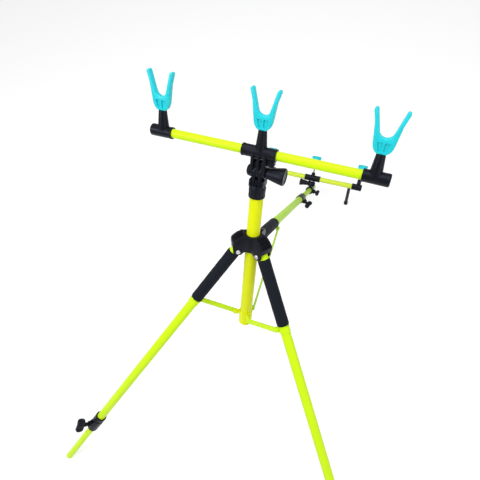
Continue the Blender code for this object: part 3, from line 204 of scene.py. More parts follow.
def wear_effect():
    """Rubbed edges, broken up by noise, and a few long light scuffs."""
    tree, given, out = effect("rubbed edges", [
        ("Edge", 'NodeSocketFloat', 0.5),
        ("Scuff", 'NodeSocketFloat', 0.3),
    ], [("Mask", 'NodeSocketFloat')])
    link = tree.links.new
    place = add_node(tree, 'ShaderNodeTexCoord')
    shape = add_node(tree, 'ShaderNodeNewGeometry')
    edge = add_node(tree, 'ShaderNodeMapRange', From_Min=0.515, From_Max=0.60)
    patch = add_node(tree, 'ShaderNodeTexNoise', Scale=160.0, Detail=4.0)
    broken = add_node(tree, 'ShaderNodeMath', operation='MULTIPLY')
    edges = add_node(tree, 'ShaderNodeMath', operation='MULTIPLY')
    stretch = add_node(tree, 'ShaderNodeMapping', Scale=(90.0, 90.0, 9.0))
    streak = add_node(tree, 'ShaderNodeTexNoise', Scale=3.0, Detail=5.0, Roughness=0.65)
    thin = add_node(tree, 'ShaderNodeMapRange', From_Min=0.66, From_Max=0.78)
    scuffs = add_node(tree, 'ShaderNodeMath', operation='MULTIPLY')
    both = add_node(tree, 'ShaderNodeMath', operation='MAXIMUM')
    link(shape.outputs["Pointiness"], edge.inputs["Value"])
    link(place.outputs["Object"], patch.inputs["Vector"])
    link(edge.outputs[0], broken.inputs[0])
    link(patch.outputs["Fac"], broken.inputs[1])
    link(broken.outputs[0], edges.inputs[0])
    link(given.outputs["Edge"], edges.inputs[1])
    link(place.outputs["Object"], stretch.inputs["Vector"])
    link(stretch.outputs[0], streak.inputs["Vector"])
    link(streak.outputs["Fac"], thin.inputs["Value"])
    link(thin.outputs[0], scuffs.inputs[0])
    link(given.outputs["Scuff"], scuffs.inputs[1])
    link(edges.outputs[0], both.inputs[0])
    link(scuffs.outputs[0], both.inputs[1])
    link(both.outputs[0], out.inputs["Mask"])
    return tree


TONE = tone_effect()
GRAIN = grain_effect()
WEAR = wear_effect()


def finish_material(name, colour, rubbed, rough, drift, grain, wear, **plain):
    """A surface whose colour drifts slowly, rubs lighter on its edges and has a fine raised grain.

    rough is the lowest and highest roughness, drift a scale and depth, grain a scale, strength and height,
    and wear the shares of the edges and of the scuffs.
    """
    material = bpy.data.materials.new(name)
    material.use_nodes = True
    tree = material.node_tree
    shader = tree.nodes["Principled BSDF"]
    tone = add_node(tree, 'ShaderNodeGroup', node_tree=TONE)
    tone.inputs["Colour"].default_value = (*colour, 1)
    tone.inputs["Scale"].default_value = drift[0]
    tone.inputs["Depth"].default_value = drift[1]
    skin = add_node(tree, 'ShaderNodeGroup', node_tree=GRAIN)
    skin.inputs["Scale"].default_value = grain[0]
    rub = add_node(tree, 'ShaderNodeGroup', node_tree=WEAR)
    rub.inputs["Edge"].default_value = wear[0]
    rub.inputs["Scuff"].default_value = wear[1]
    mix = add_node(tree, 'ShaderNodeMix', data_type='RGBA')
    mix.inputs[7].default_value = (*rubbed, 1)
    polish = add_node(tree, 'ShaderNodeMapRange', From_Min=0.3, From_Max=0.7,
                      To_Min=rough[0], To_Max=rough[1])
    bump = add_node(tree, 'ShaderNodeBump', Strength=grain[1], Distance=grain[2])
    link = tree.links.new
    link(rub.outputs["Mask"], mix.inputs[0])
    link(tone.outputs["Colour"], mix.inputs[6])
    link(mix.outputs[2], shader.inputs["Base Color"])
    link(tone.outputs["Mask"], polish.inputs["Value"])
    link(polish.outputs[0], shader.inputs["Roughness"])
    link(skin.outputs["Height"], bump.inputs["Height"])
    link(bump.outputs["Normal"], shader.inputs["Normal"])
    for socket, value in plain.items():
        shader.inputs[socket.replace("_", " ")].default_value = value
    return material


def lacquer(name, colour):
    """Gloss powder coat: a slight orange peel under a thin clear skin, with the odd pale scuff."""
    pale = tuple(min(1.0, c * 0.95 + 0.05) for c in colour)
    return finish_material(name, colour, pale, (0.30, 0.42), (14.0, 0.04), (620.0, 0.08, 0.0002),
                           (0.05, 0.06), Coat_Weight=0.05, Coat_Roughness=0.15, Specular_IOR_Level=0.14)


# The column's coat is the leg paint in a yellower copy, which is painted light.
column_lit_paint = lacquer("column paint with painted light", COLUMN_LIT_COLOUR)


def shown(name, mesh, place, body, node, material, crease=CREASE):
    """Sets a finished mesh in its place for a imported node, on the body that carries that node."""
    piece = bpy.data.objects.new(name, mesh)
    bpy.context.scene.collection.objects.link(piece)
    mesh.materials.clear()
    mesh.materials.append(material)
    mesh.shade_smooth()
    mesh.set_sharp_from_angle(angle=crease)
    piece.matrix_world = place
    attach(piece, body)
    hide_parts(node)
    return piece


column = tube(COLUMN_RADIUS, COLUMN_RADIUS - COLUMN_WALL, COLUMN_TOP, COLUMN_FOOT, 72)
shown("column_pipe", column, stand, "column", "column_tube", column_lit_paint)


# Lower cup: a spun aluminium cup pressed on the foot of the column, in the same coat with its painted-light
# tint.
# Three ears stand out of it, and the rivet of each stay sits in its ear.
CUP_TOP = -196 * MM
CUP_BOTTOM = -236 * MM
CUP_RADIUS = 16.2 * MM
CUP_BORE = 14.8 * MM
STAY_RADIUS_AT_CUP = 24.6 * MM
STAY_HEIGHT_AT_CUP = -207 * MM
LUG_FAR_FACE = -10.3 * MM
LUG_NEAR_FACE = -7.1 * MM
LUG_HALF_WIDTH = 6.7 * MM
LUG_EDGE = 0.4 * MM
LUG_ROOT = 12 * MM
RIVET_HEAD_RADIUS = 4.2 * MM
RIVET_HEAD_HEIGHT = 1.6 * MM
RIVET_RIM = 0.2
RIVET_DOME = (0.35, 0.7, 1.05, 1.35)
ROLLED_EDGE = math.radians(40)
ROLL_STEPS = 2
PIVOT_RADIUS = 33.5 * MM
FRONT_SPREAD = math.radians(30)
AZIMUTHS = {"left": math.pi + FRONT_SPREAD, "right": -FRONT_SPREAD, "rear": math.pi / 2}


def arc(centre, radius, start, end, steps):
    """Points on an arc in degrees, ends included."""
    angles = [math.radians(start + (end - start) * i / steps) for i in range(steps + 1)]
    return [(centre[0] + radius * math.cos(a), centre[1] + radius * math.sin(a)) for a in angles]


def rim_softened(mesh, width):
    """The mesh with its sharp edges rolled over by a small radius."""
    if width <= 0:
        return mesh
    scratch = bpy.data.objects.new("scratch", mesh)
    bpy.context.scene.collection.objects.link(scratch)
    bevel = scratch.modifiers.new("edge", 'BEVEL')
    bevel.width = width
    bevel.segments = ROLL_STEPS
    bevel.limit_method = 'ANGLE'
    bevel.angle_limit = ROLLED_EDGE
    rolled = bpy.data.meshes.new_from_object(scratch.evaluated_get(bpy.context.evaluated_depsgraph_get()))
    bpy.data.objects.remove(scratch, do_unlink=True)
    return rolled


def plate(outline, low, high, edge=0.0):
    """A flat outline in X and Z with a thickness along Y, its edges rolled over by edge."""
    bm = bmesh.new()
    near = [bm.verts.new((x, low, z)) for x, z in outline]
    far = [bm.verts.new((x, high, z)) for x, z in outline]
    bm.faces.new(near)
    bm.faces.new(far[::-1])
    for i in range(len(outline)):
        j = (i + 1) % len(outline)
        bm.faces.new((near[i], far[i], far[j], near[j]))
    bmesh.ops.recalc_face_normals(bm, faces=bm.faces)
    mesh = bpy.data.meshes.new("plate")
    bm.to_mesh(mesh)
    bm.free()
    return rim_softened(mesh, edge)


def moved(mesh, matrix):
    mesh.transform(matrix)
    return mesh


def along_x(mesh):
    """Lays a mesh built along Z down along X."""
    return moved(mesh, Matrix.Rotation(math.pi / 2, 4, 'Y'))


def along_y(mesh):
    """Lays a mesh built along Z down along Y."""
    return moved(mesh, Matrix.Rotation(-math.pi / 2, 4, 'X'))


def shifted(mesh, x=0.0, y=0.0, z=0.0):
    return moved(mesh, Matrix.Translation((x, y, z)))


def shaped(mesh, joined=(), cut=()):
    """The mesh with others welded to it and then others cut out of it."""
    for other, operation in [(m, 'UNION') for m in joined] + [(m, 'DIFFERENCE') for m in cut]:
        base = bpy.data.objects.new("base", mesh)
        tool = bpy.data.objects.new("tool", other)
        bpy.context.scene.collection.objects.link(base)
        bpy.context.scene.collection.objects.link(tool)
        boolean = base.modifiers.new("shape", 'BOOLEAN')
        boolean.operation = operation
        boolean.solver = 'EXACT'
        boolean.object = tool
        mesh = bpy.data.meshes.new_from_object(base.evaluated_get(bpy.context.evaluated_depsgraph_get()))
        bpy.data.objects.remove(base, do_unlink=True)
        bpy.data.objects.remove(tool, do_unlink=True)
    return mesh


def rod(radius, top, bottom, steps=40, ease=0.5 * MM):
    """A round bar down Z with softened rims."""
    profile = [(0, top), (radius, top), (radius, bottom), (0, bottom)]
    return turned(eased(profile, ease), steps)


def rivet_head(seat, root, shank=None):
    """A low dome on its seat, with a shank or the head itself running down to the root."""
    radius = RIVET_HEAD_RADIUS
    rim = seat + RIVET_HEAD_HEIGHT * RIVET_RIM
    dome = RIVET_HEAD_HEIGHT * (1 - RIVET_RIM)
    profile = [(0, rim + dome)]
    profile += [(radius * math.sin(a), rim + dome * math.cos(a)) for a in RIVET_DOME]
    profile.append((radius, rim))
    profile += [(radius, seat), (shank, seat), (shank, root)] if shank else [(radius, root)]
    return turned(profile + [(0, root)], 28)


def turned_by(azimuth):
    return Matrix.Rotation(azimuth, 4, 'Z')


cup_ring = [(0, CUP_TOP), (CUP_RADIUS, CUP_TOP), (CUP_RADIUS, CUP_TOP - 6 * MM),
            (CUP_RADIUS - 0.5 * MM, CUP_TOP - 7 * MM), (CUP_RADIUS - 0.5 * MM, CUP_TOP - 9 * MM),
            (CUP_RADIUS, CUP_TOP - 10 * MM), (CUP_RADIUS, CUP_BOTTOM + 3 * MM),
            (CUP_RADIUS - 1 * MM, CUP_BOTTOM + 1 * MM), (CUP_RADIUS - 3 * MM, CUP_BOTTOM), (0, CUP_BOTTOM)]
ears = []
for azimuth in AZIMUTHS.values():
    at = turned_by(azimuth) @ Matrix.Translation((0, 0, STAY_HEIGHT_AT_CUP))
    ear = arc((STAY_RADIUS_AT_CUP, 0), LUG_HALF_WIDTH, -90, 90, 18)
    ear += [(LUG_ROOT, LUG_HALF_WIDTH), (LUG_ROOT, -LUG_HALF_WIDTH)]
    ears.append(moved(plate(ear, LUG_FAR_FACE, LUG_NEAR_FACE, LUG_EDGE), at))
    head = along_y(rivet_head(LUG_NEAR_FACE, LUG_NEAR_FACE - 1 * MM))
    ears.append(moved(head, at @ Matrix.Translation((STAY_RADIUS_AT_CUP, 0, 0))))
cup = shaped(turned(eased(cup_ring, 0.5 * MM), 72), ears, [rod(CUP_BORE, 0, CUP_BOTTOM + 4 * MM, 72)])
shown("column_cup", cup, stand, "column", "stay_cup", column_lit_paint)


# Hub: one glass-filled nylon moulding with a fork for each leg. A plain bush lines its bore, a steel pin
# holds each leg, and a small knob behind the left leg grips the column.
HUB_RADIUS = 21 * MM
HUB_TOP = 36 * MM
HUB_BOTTOM = -3 * MM
HUB_BORE = 16.7 * MM
HUB_CHAMFER = 1.6 * MM
CLEARANCE = 0.3 * MM
LEG_RADIUS = 11.5 * MM
LEG_HEAD = 7 * MM
FORK_HALF_WIDTH = 16.5 * MM
FORK_REACH = 44 * MM
FORK_CROWN = 37 * MM
FORK_DROP = 9 * MM
FORK_SLOT_HALF = 12.1 * MM
FORK_SLOT_RADIUS = math.hypot(LEG_HEAD, LEG_RADIUS) + 0.6 * MM
FORK_CORNER = 2 * MM
FORK_EDGE = 1.3 * MM
FORK_LIP = 2 * MM
FORK_GROOVES = ((-9.6, -6.2), (-4.6, -0.8), (0.8, 4.6), (6.2, 9.6))
FORK_GROOVE_DEPTH = 1.7 * MM
FORK_LIP_ANGLE = 36
PIN_RADIUS = 3 * MM
PIN_HOLE_RADIUS = 3.35 * MM
PIN_HEAD_RADIUS = 5.2 * MM
PIN_HEAD_HEIGHT = 2.2 * MM
LOCK_AZIMUTH = math.radians(150)
LOCK_HEIGHT = 17 * MM
LOCK_BOSS_RADIUS = 5.5 * MM
LOCK_BOSS_END = 24 * MM
LOCK_KNOB_RADIUS = 7.5 * MM
LOCK_KNOB_START = 29 * MM
LOCK_KNOB_END = 41 * MM
LOCK_KNOB_LOBES = 9
LOCK_NECK_RADIUS = 3.8 * MM
LOCK_SCREW_RADIUS = 3 * MM
LOCK_SCREW_TIP = 14.8 * MM
LOBE_FADE = 1.5 * MM
NYLON_COLOUR = (0.0060, 0.0060, 0.0085)
NYLON_RUBBED = (0.020, 0.021, 0.032)

nylon = finish_material("black nylon", NYLON_COLOUR, NYLON_RUBBED, (0.27, 0.42), (45.0, 0.22),
                        (1500.0, 0.16, 0.0002), (0.40, 0.20), Specular_IOR_Level=0.20,
                        Specular_Tint=(0.66, 0.76, 1.0, 1.0))
zinc = finish_material("zinc plate", (0.70, 0.71, 0.74), (0.88, 0.88, 0.89), (0.22, 0.38), (60.0, 0.10),
                       (2200.0, 0.12, 0.0001), (0.4, 0.5), Metallic=1.0)


def fork_block(lip):
    """A fork before its slot is cut; the front ones reach a little further out over the leg's end."""
    reach, crown = FORK_REACH, FORK_CROWN
    outline = [(HUB_RADIUS / 2, crown), (PIVOT_RADIUS - 9.5 * MM, crown),
               (PIVOT_RADIUS - 0.5 * MM, crown - 4 * MM), (reach - 2.5 * MM, crown - 11 * MM),
               (reach + lip, crown - 17 * MM), (reach + lip, 10 * MM), (reach, 4 * MM),
               (reach, 6 * MM - FORK_DROP), (reach - 4 * MM, -FORK_DROP),
               (PIVOT_RADIUS - 6.5 * MM, -FORK_DROP), (HUB_RADIUS - 0.5 * MM, HUB_BOTTOM + 0.5 * MM),
               (HUB_RADIUS / 2, HUB_BOTTOM + 0.5 * MM)]
    return plate(eased(outline, FORK_CORNER, True), -FORK_HALF_WIDTH, FORK_HALF_WIDTH, FORK_EDGE)


def fork_slot(start):
    """The room for the leg's end: round about the pivot from the start angle on, and open below."""
    far, low = PIVOT_RADIUS + 30 * MM, -40 * MM
    outline = arc((PIVOT_RADIUS, 0), FORK_SLOT_RADIUS, start, 180, 24)
    outline += [(PIVOT_RADIUS - FORK_SLOT_RADIUS, low), (far, low), (far, outline[0][1])]
    return plate(outline, -FORK_SLOT_HALF, FORK_SLOT_HALF)


def fork_groove(near, far):
    """One of the shallow channels between the ribs on the crown of a fork."""
    reach, crown = FORK_REACH, FORK_CROWN - FORK_GROOVE_DEPTH
    high = FORK_CROWN + 12 * MM
    outline = [(HUB_RADIUS + 1.6 * MM, high), (HUB_RADIUS + 1.6 * MM, crown + 0.6 * MM),
               (PIVOT_RADIUS - 1.1 * MM, crown - 3.9 * MM), (reach - 3.4 * MM, crown - 10.6 * MM),
               (reach - 1.4 * MM, crown - 14.6 * MM), (reach + 16 * MM, crown - 14.6 * MM),
               (reach + 16 * MM, high)]
    return plate(eased(outline, 1 * MM, True), near, far)


collar_ring = [(0, HUB_TOP), (HUB_RADIUS - HUB_CHAMFER, HUB_TOP), (HUB_RADIUS, HUB_TOP - HUB_CHAMFER),
               (HUB_RADIUS, HUB_BOTTOM), (0, HUB_BOTTOM)]
welded = []
cuts = [rod(HUB_BORE, HUB_TOP + 9 * MM, HUB_BOTTOM - 9 * MM, 72)]
for side, azimuth in AZIMUTHS.items():
    at = turned_by(azimuth)
    welded.append(moved(fork_block(0 if side == "rear" else FORK_LIP), at))
    cuts.append(moved(fork_slot(90 if side == "rear" else FORK_LIP_ANGLE), at))
    for near, far in FORK_GROOVES:
        cuts.append(moved(fork_groove(near * MM, far * MM), at))
    pin_hole = along_y(rod(PIN_HOLE_RADIUS, 30 * MM, -30 * MM, 24))
    cuts.append(moved(pin_hole, at @ Matrix.Translation((PIVOT_RADIUS, 0, 0))))
lock_at = turned_by(LOCK_AZIMUTH) @ Matrix.Translation((0, 0, LOCK_HEIGHT))
welded.append(moved(along_x(rod(LOCK_BOSS_RADIUS, LOCK_BOSS_END, HUB_RADIUS - 3 * MM, 32)), lock_at))
cuts.append(moved(along_x(rod(LOCK_SCREW_RADIUS + CLEARANCE, LOCK_KNOB_START, 5 * MM, 24)), lock_at))
hub = shaped(turned(eased(collar_ring, 0.6 * MM), 72), welded, cuts)
shown("hub_moulding", hub, stand, "hub", "hub", nylon)
frame["nodes"]["hub_bush"].data.materials.clear()
frame["nodes"]["hub_bush"].data.materials.append(nylon)

pin_seat = FORK_HALF_WIDTH + CLEARANCE
pin_end = pin_seat + PIN_HEAD_HEIGHT
pin_profile = [(0, pin_end - 0.5 * MM), (1.6 * MM, pin_end - 0.5 * MM), (1.9 * MM, pin_end),
               (PIN_HEAD_RADIUS - 1.4 * MM, pin_end), (PIN_HEAD_RADIUS - 0.3 * MM, pin_seat + 1.2 * MM),
               (PIN_HEAD_RADIUS, pin_seat + 0.5 * MM), (PIN_HEAD_RADIUS, pin_seat), (PIN_RADIUS, pin_seat)]
pin_profile += [(r, -z) for r, z in reversed(pin_profile)]
for side, azimuth in AZIMUTHS.items():
    at = stand @ turned_by(azimuth) @ Matrix.Translation((PIVOT_RADIUS, 0, 0))
    pin = along_y(turned(eased(pin_profile, 0.3 * MM), 36))
    shown("pivot_pin_" + side, pin, at, "hub", "leg_pin_" + side, zinc)


def lobed(count, depth, low, high):
    """A radius that dips count times round the rim between two heights, for a knob's finger grips."""
    def wave(angle, height):
        inside = min(1.0, max(0.0, (height - low) / LOBE_FADE), max(0.0, (high - height) / LOBE_FADE))
        return 1 - depth * inside * (0.5 + 0.5 * math.cos(count * angle)) ** 3
    return wave


lock_middle = (LOCK_KNOB_START + LOCK_KNOB_END) / 2
lock_seat = LOCK_BOSS_END + CLEARANCE
lock_profile = [(0, LOCK_KNOB_END), (LOCK_KNOB_RADIUS, LOCK_KNOB_END), (LOCK_KNOB_RADIUS, lock_middle),
                (LOCK_KNOB_RADIUS, LOCK_KNOB_START + 1.5 * MM), (LOCK_KNOB_RADIUS - 2 * MM, LOCK_KNOB_START),
                (LOCK_NECK_RADIUS, LOCK_KNOB_START), (LOCK_NECK_RADIUS, lock_seat),
                (LOCK_SCREW_RADIUS, lock_seat), (LOCK_SCREW_RADIUS, LOCK_SCREW_TIP), (0, LOCK_SCREW_TIP)]
lock_lobes = lobed(LOCK_KNOB_LOBES, 0.14, LOCK_KNOB_START, LOCK_KNOB_END + 3 * MM)
lock_knob = along_x(turned(eased(lock_profile, 1 * MM), 72, wave=lock_lobes))
shown("lock_knob", lock_knob, stand @ lock_at, "lock_knob", "column_lock_knob", nylon)


# Legs: an upper tube with a foam grip pushed over its top, a moulded collar at its lower end, and a thinner
# tube that slides in it and ends in a rounded plug. The front pair is steep and the rear leg lies flat.
LEG_BORE = 10.3 * MM
GRIP_START = 11.4 * MM
GRIP_END = 167.5 * MM
GRIP_INNER = 11.8 * MM
GRIP_OUTER = 13.9 * MM
GRIP_CHAMFER = 1.2 * MM
COLLAR_LENGTH = 62 * MM
COLLAR_SEAT = 19 * MM
COLLAR_RADIUS = 15.5 * MM
REAR_COLLAR_RADIUS = 14.3 * MM
COLLAR_LOW_RADIUS = 14.2 * MM
WEB_OFFSET = 6 * MM
WEB_HALF = 1.1 * MM
SHANK_RADIUS = 9.5 * MM
SHANK_WALL = 1 * MM
SHANK_LENGTH = 620 * MM
SCREW_BOSS_RADIUS = 8.6 * MM
SCREW_BOSS_END = 22.5 * MM
SCREW_FROM_COLLAR_END = 23 * MM
SCREW_RADIUS = 3 * MM
WING_HALF = 5.2 * MM
WING_NECK_RADIUS = 5.4 * MM
WING_BARREL_RADIUS = 6.2 * MM
WING_GROOVE_RADIUS = 0.75 * MM
WING_GROOVE_FROM_TIP = 3.6 * MM
WING_GROOVE_STEP = 2.6 * MM
PLUG_SHOULDER = 8 * MM
LEG_COLOUR = (0.64, 0.93, 0.006)
# The rear leg's colour is a darker, greener copy of the leg coat: painted shade.
REAR_SHADED_COLOUR = (0.46, 0.76, 0.030)
FOAM_COLOUR = (0.0080, 0.0100, 0.0150)
FRONT_LEG = {
    "slope": math.radians(57.8), "tube": 686 * MM, "reach": 915 * MM, "screw": math.radians(20),
    "wing_end": 56.5 * MM, "wing_half": 19 * MM, "wing_thick": 20.5 * MM, "wing_turn": math.radians(30),
    "collar": COLLAR_RADIUS,
}
REAR_LEG = {
    "slope": math.radians(17.6), "tube": 550 * MM, "reach": 907 * MM, "screw": math.radians(-120),
    "wing_end": 44 * MM, "wing_half": 15 * MM, "wing_thick": 16 * MM, "wing_turn": math.radians(60),
    "collar": REAR_COLLAR_RADIUS,
}
LEGS = {"left": FRONT_LEG, "right": FRONT_LEG, "rear": REAR_LEG}

leg_paint = lacquer("leg paint", LEG_COLOUR)
# The rear leg's paint is that darker copy of the leg coat, which is painted shade.
rear_shaded_paint = lacquer("rear leg paint with painted shade", REAR_SHADED_COLOUR)
foam = finish_material("grip foam", FOAM_COLOUR, (0.022, 0.025, 0.034), (0.62, 0.78), (70.0, 0.25),
                       (1100.0, 0.55, 0.0004), (0.3, 0.15), Specular_IOR_Level=0.16,
                       Specular_Tint=(0.75, 0.85, 1.0, 1.0))


def leg_place(side):
    """The frame of a leg: its origin on the pivot, -Z down the leg and +X on its outer side."""
    leg, azimuth = LEGS[side], AZIMUTHS[side]
    out = Vector((math.cos(azimuth), math.sin(azimuth), 0)) * PIVOT_RADIUS
    tilt = Matrix.Rotation(leg["slope"] - math.pi / 2, 4, 'Y')
    return stand @ Matrix.Translation(out) @ turned_by(azimuth) @ tilt


def grip_mesh():
    """A foam sleeve with chamfered ends and a faint waviness down its length."""
    top, low = -GRIP_START, -GRIP_END
    profile = [(GRIP_INNER, top), (GRIP_OUTER - GRIP_CHAMFER, top), (GRIP_OUTER, top - 1.6 * MM)]
    for i in range(1, 16):
        profile.append((GRIP_OUTER + 0.12 * MM * math.sin(i * 1.7), top + (low - top) * i / 16))
    profile += [(GRIP_OUTER, low + 1.6 * MM), (GRIP_OUTER - GRIP_CHAMFER, low), (GRIP_INNER, low)]
    return turned(eased(profile, 1.0 * MM, True), 56, closed=True)


def screw_boss():
    """The round boss that holds a wing screw's nut, with a raised rim."""
    start = SHANK_RADIUS + 1.5 * MM
    face = SCREW_BOSS_END - 0.6 * MM
    profile = [(0, face), (4.6 * MM, face), (5.0 * MM, SCREW_BOSS_END), (SCREW_BOSS_RADIUS, SCREW_BOSS_END),
               (SCREW_BOSS_RADIUS, start), (0, start)]
    return along_x(turned(eased(profile, 0.6 * MM), 40))


def screw_hole():
    return along_x(rod(SCREW_RADIUS + CLEARANCE, SCREW_BOSS_END + 6 * MM, 0, 24))


def collar_mesh(leg):
    """The clamping collar: a wide mouth over the upper tube, a band, and a neck down to the lower tube."""
    top = -leg["tube"]
    low = top - COLLAR_LENGTH
    step = top - COLLAR_SEAT
    wide, narrow = LEG_RADIUS + CLEARANCE, SHANK_RADIUS + CLEARANCE
    mouth = leg["collar"]
    band = mouth - 0.8 * MM
    taper = (mouth - COLLAR_LOW_RADIUS) / (COLLAR_LENGTH - COLLAR_SEAT)
    profile = [(wide, top), (mouth - 0.7 * MM, top), (mouth, top - 1.4 * MM),
               (mouth, top - 5.5 * MM), (band, top - 6.5 * MM), (band, step + 2.5 * MM),
               (mouth, step + 1.5 * MM), (mouth - taper * 2 * MM, step - 2 * MM),
               (COLLAR_LOW_RADIUS + 0.4 * MM, low + 5 * MM), (COLLAR_LOW_RADIUS, low + 1.5 * MM),
               (COLLAR_LOW_RADIUS - 1.2 * MM, low), (narrow, low), (narrow, step), (wide, step)]
    at = screw_place(leg)
    webs = []
    outline = [(11 * MM, 14 * MM), (15.2 * MM, 14 * MM), (19.5 * MM, 5 * MM), (19.5 * MM, -5 * MM),
               (14 * MM, -15 * MM), (11 * MM, -15 * MM)]
    for y in (-WEB_OFFSET, WEB_OFFSET):
        webs.append(moved(plate(outline, y - WEB_HALF, y + WEB_HALF, 0.4 * MM), at))
    bores = [moved(screw_hole(), at), rod(narrow, step + 1 * MM, low - 5 * MM, 56),
             rod(wide, top + 5 * MM, step, 56, ease=0)]
    body = turned(eased(profile, 0.7 * MM, True), 56, closed=True)
    return shaped(body, [moved(screw_boss(), at)] + webs, bores)


def screw_height(leg):
    return -leg["tube"] - COLLAR_LENGTH + SCREW_FROM_COLLAR_END


def screw_place(leg):
    return Matrix.Translation((0, 0, screw_height(leg))) @ Matrix.Rotation(leg["screw"], 4, 'Z')


def wing_screw(end, span, thick):
    """A moulded wing on a steel-cored screw: a waisted bar with thick rounded ends and a round hub."""
    start = end - thick
    mid = (start + end) / 2
    outline = [(start - 1 * MM, -6 * MM), (start + 1 * MM, 2 * MM - span), (mid, -span),
               (end - 3 * MM, 1 * MM - span), (end, 5 * MM - span), (end - 1.5 * MM, 0),
               (end, span - 5 * MM), (end - 3 * MM, span - 1 * MM), (mid, span),
               (start + 1 * MM, span - 2 * MM), (start - 1 * MM, 6 * MM)]
    wing = plate(eased(outline, 2.2 * MM, True), -WING_HALF, WING_HALF, 1.6 * MM)
    grips = []
    for sign in (-1, 1):
        for face in (-1, 1):
            for step in (0, 1, 2):
                z = sign * (span - WING_GROOVE_FROM_TIP - WING_GROOVE_STEP * step)
                groove = along_x(rod(WING_GROOVE_RADIUS, end + 4 * MM, start - 4 * MM, 12))
                grips.append(shifted(groove, 0, face * (WING_HALF + 0.25 * MM), z))
    neck = SCREW_BOSS_END + CLEARANCE
    barrel_end = end - 2.5 * MM
    tip = SHANK_RADIUS + CLEARANCE
    profile = [(0, barrel_end), (WING_BARREL_RADIUS, barrel_end), (WING_BARREL_RADIUS, start - 1 * MM),
               (WING_NECK_RADIUS, neck + 3 * MM), (WING_NECK_RADIUS, neck), (SCREW_RADIUS, neck),
               (SCREW_RADIUS, tip), (0, tip)]
    return shaped(wing, [along_x(turned(eased(profile, 1 * MM), 40))], grips)


def foot_mesh():
    """A plug with a ball end; the floor has worn its underside flat."""
    profile = [(0, 26 * MM), (8.2 * MM, 26 * MM), (8.2 * MM, PLUG_SHOULDER), (SHANK_RADIUS, PLUG_SHOULDER),
               (SHANK_RADIUS, 5.6 * MM), (SHANK_RADIUS - 0.35 * MM, 5.1 * MM), (SHANK_RADIUS, 4.6 * MM)]
    profile += arc((0, 0), SHANK_RADIUS, 0, -84, 14) + [(0, -SHANK_RADIUS)]
    return turned(profile, 40)


def cut_at_floor(mesh, place):
    """The mesh without what would lie under the floor, once it stands in its place."""
    slab = plate([(-0.05, -0.05), (0.05, -0.05), (0.05, 0), (-0.05, 0)], -0.05, 0.05)
    foot = place.translation
    world_slab = shifted(slab, foot.x, foot.y, 0)
    return shaped(mesh, cut=[moved(world_slab, place.inverted())])


for side, leg in LEGS.items():
    at = leg_place(side)
    # The rear leg takes the darker copy of the leg coat, which is painted shade.
    paint = rear_shaded_paint if side == "rear" else leg_paint
    tube_end = leg["tube"] + COLLAR_SEAT - CLEARANCE
    pin_hole = along_y(rod(PIN_HOLE_RADIUS, 20 * MM, -20 * MM, 24))
    upper = shaped(tube(LEG_RADIUS, LEG_BORE, LEG_HEAD, -tube_end, 64), cut=[pin_hole])
    shown("upper_tube_" + side, upper, at, "leg_" + side, "leg_tube_" + side, paint)
    shown("foam_grip_" + side, grip_mesh(), at, "leg_" + side, "leg_grip_" + side, foam)
    shown("clamp_collar_" + side, collar_mesh(leg), at, "leg_" + side, "leg_collar_" + side,
          nylon)
    screw_at = at @ screw_place(leg) @ Matrix.Rotation(leg["wing_turn"], 4, 'X')
    screw = wing_screw(leg["wing_end"], leg["wing_half"], leg["wing_thick"])
    shown("wing_screw_" + side, screw, screw_at, "leg_screw_" + side, "leg_screw_" + side,
          nylon)
    shank_at = at @ Matrix.Translation((0, 0, -leg["reach"]))
    lower = tube(SHANK_RADIUS, SHANK_RADIUS - SHANK_WALL, SHANK_LENGTH, PLUG_SHOULDER + CLEARANCE)
    shown("lower_tube_" + side, lower, shank_at, "shank_" + side, "shank_" + side, paint)
    shown("foot_plug_" + side, cut_at_floor(foot_mesh(), shank_at), shank_at, "shank_" + side,
          "foot_tip_" + side, paint)


# Stays: flat aluminium bars in the legs' coat. Each hangs from the rivet of a saddle clip on its leg, just
# under the grip, and its far end carries one half of the rivet in the cup's ear.
STAY_ON_LEG = 177 * MM
STAY_OFF_LEG = 14.6 * MM
STAY_HALF_WIDTH = 6.2 * MM
STAY_THICKNESS = 3.6 * MM
STAY_FACE = LUG_FAR_FACE - CLEARANCE
STAY_FAR_FACE = STAY_FACE - STAY_THICKNESS
RIVET_SHANK_RADIUS = 2.5 * MM
RIVET_HOLE_RADIUS = 2.85 * MM
CLIP_RADIUS = 13 * MM
CLIP_HALF = 7 * MM


def clip_mesh():
    """A pressed band round the tube, its edges turned up a little, with its ear and rivet."""
    inner, outer = LEG_RADIUS + CLEARANCE, CLIP_RADIUS
    band = [(inner, CLIP_HALF), (outer, CLIP_HALF), (outer, CLIP_HALF - 1.6 * MM),
            (outer - 0.3 * MM, CLIP_HALF - 2.4 * MM), (outer - 0.3 * MM, 2.4 * MM - CLIP_HALF),
            (outer, 1.6 * MM - CLIP_HALF), (outer, -CLIP_HALF), (inner, -CLIP_HALF)]
    ring = turned(eased(band, 0.4 * MM, True), 56, closed=True)
    root = -7.4 * MM
    ear = arc((-STAY_OFF_LEG, 0), LUG_HALF_WIDTH, 90, 270, 18)
    ear += [(root, -LUG_HALF_WIDTH), (root, LUG_HALF_WIDTH)]
    lug = plate(ear, LUG_FAR_FACE, LUG_NEAR_FACE, LUG_EDGE)
    head = rivet_head(CLEARANCE - STAY_FAR_FACE, -LUG_FAR_FACE - 1 * MM, RIVET_SHANK_RADIUS)
    head = moved(head, Matrix.Rotation(math.pi / 2, 4, 'X'))
    clip = shaped(ring, [lug, shifted(head, -STAY_OFF_LEG)], [rod(inner, 20 * MM, -20 * MM, 56)])
    return shifted(clip, z=-STAY_ON_LEG)


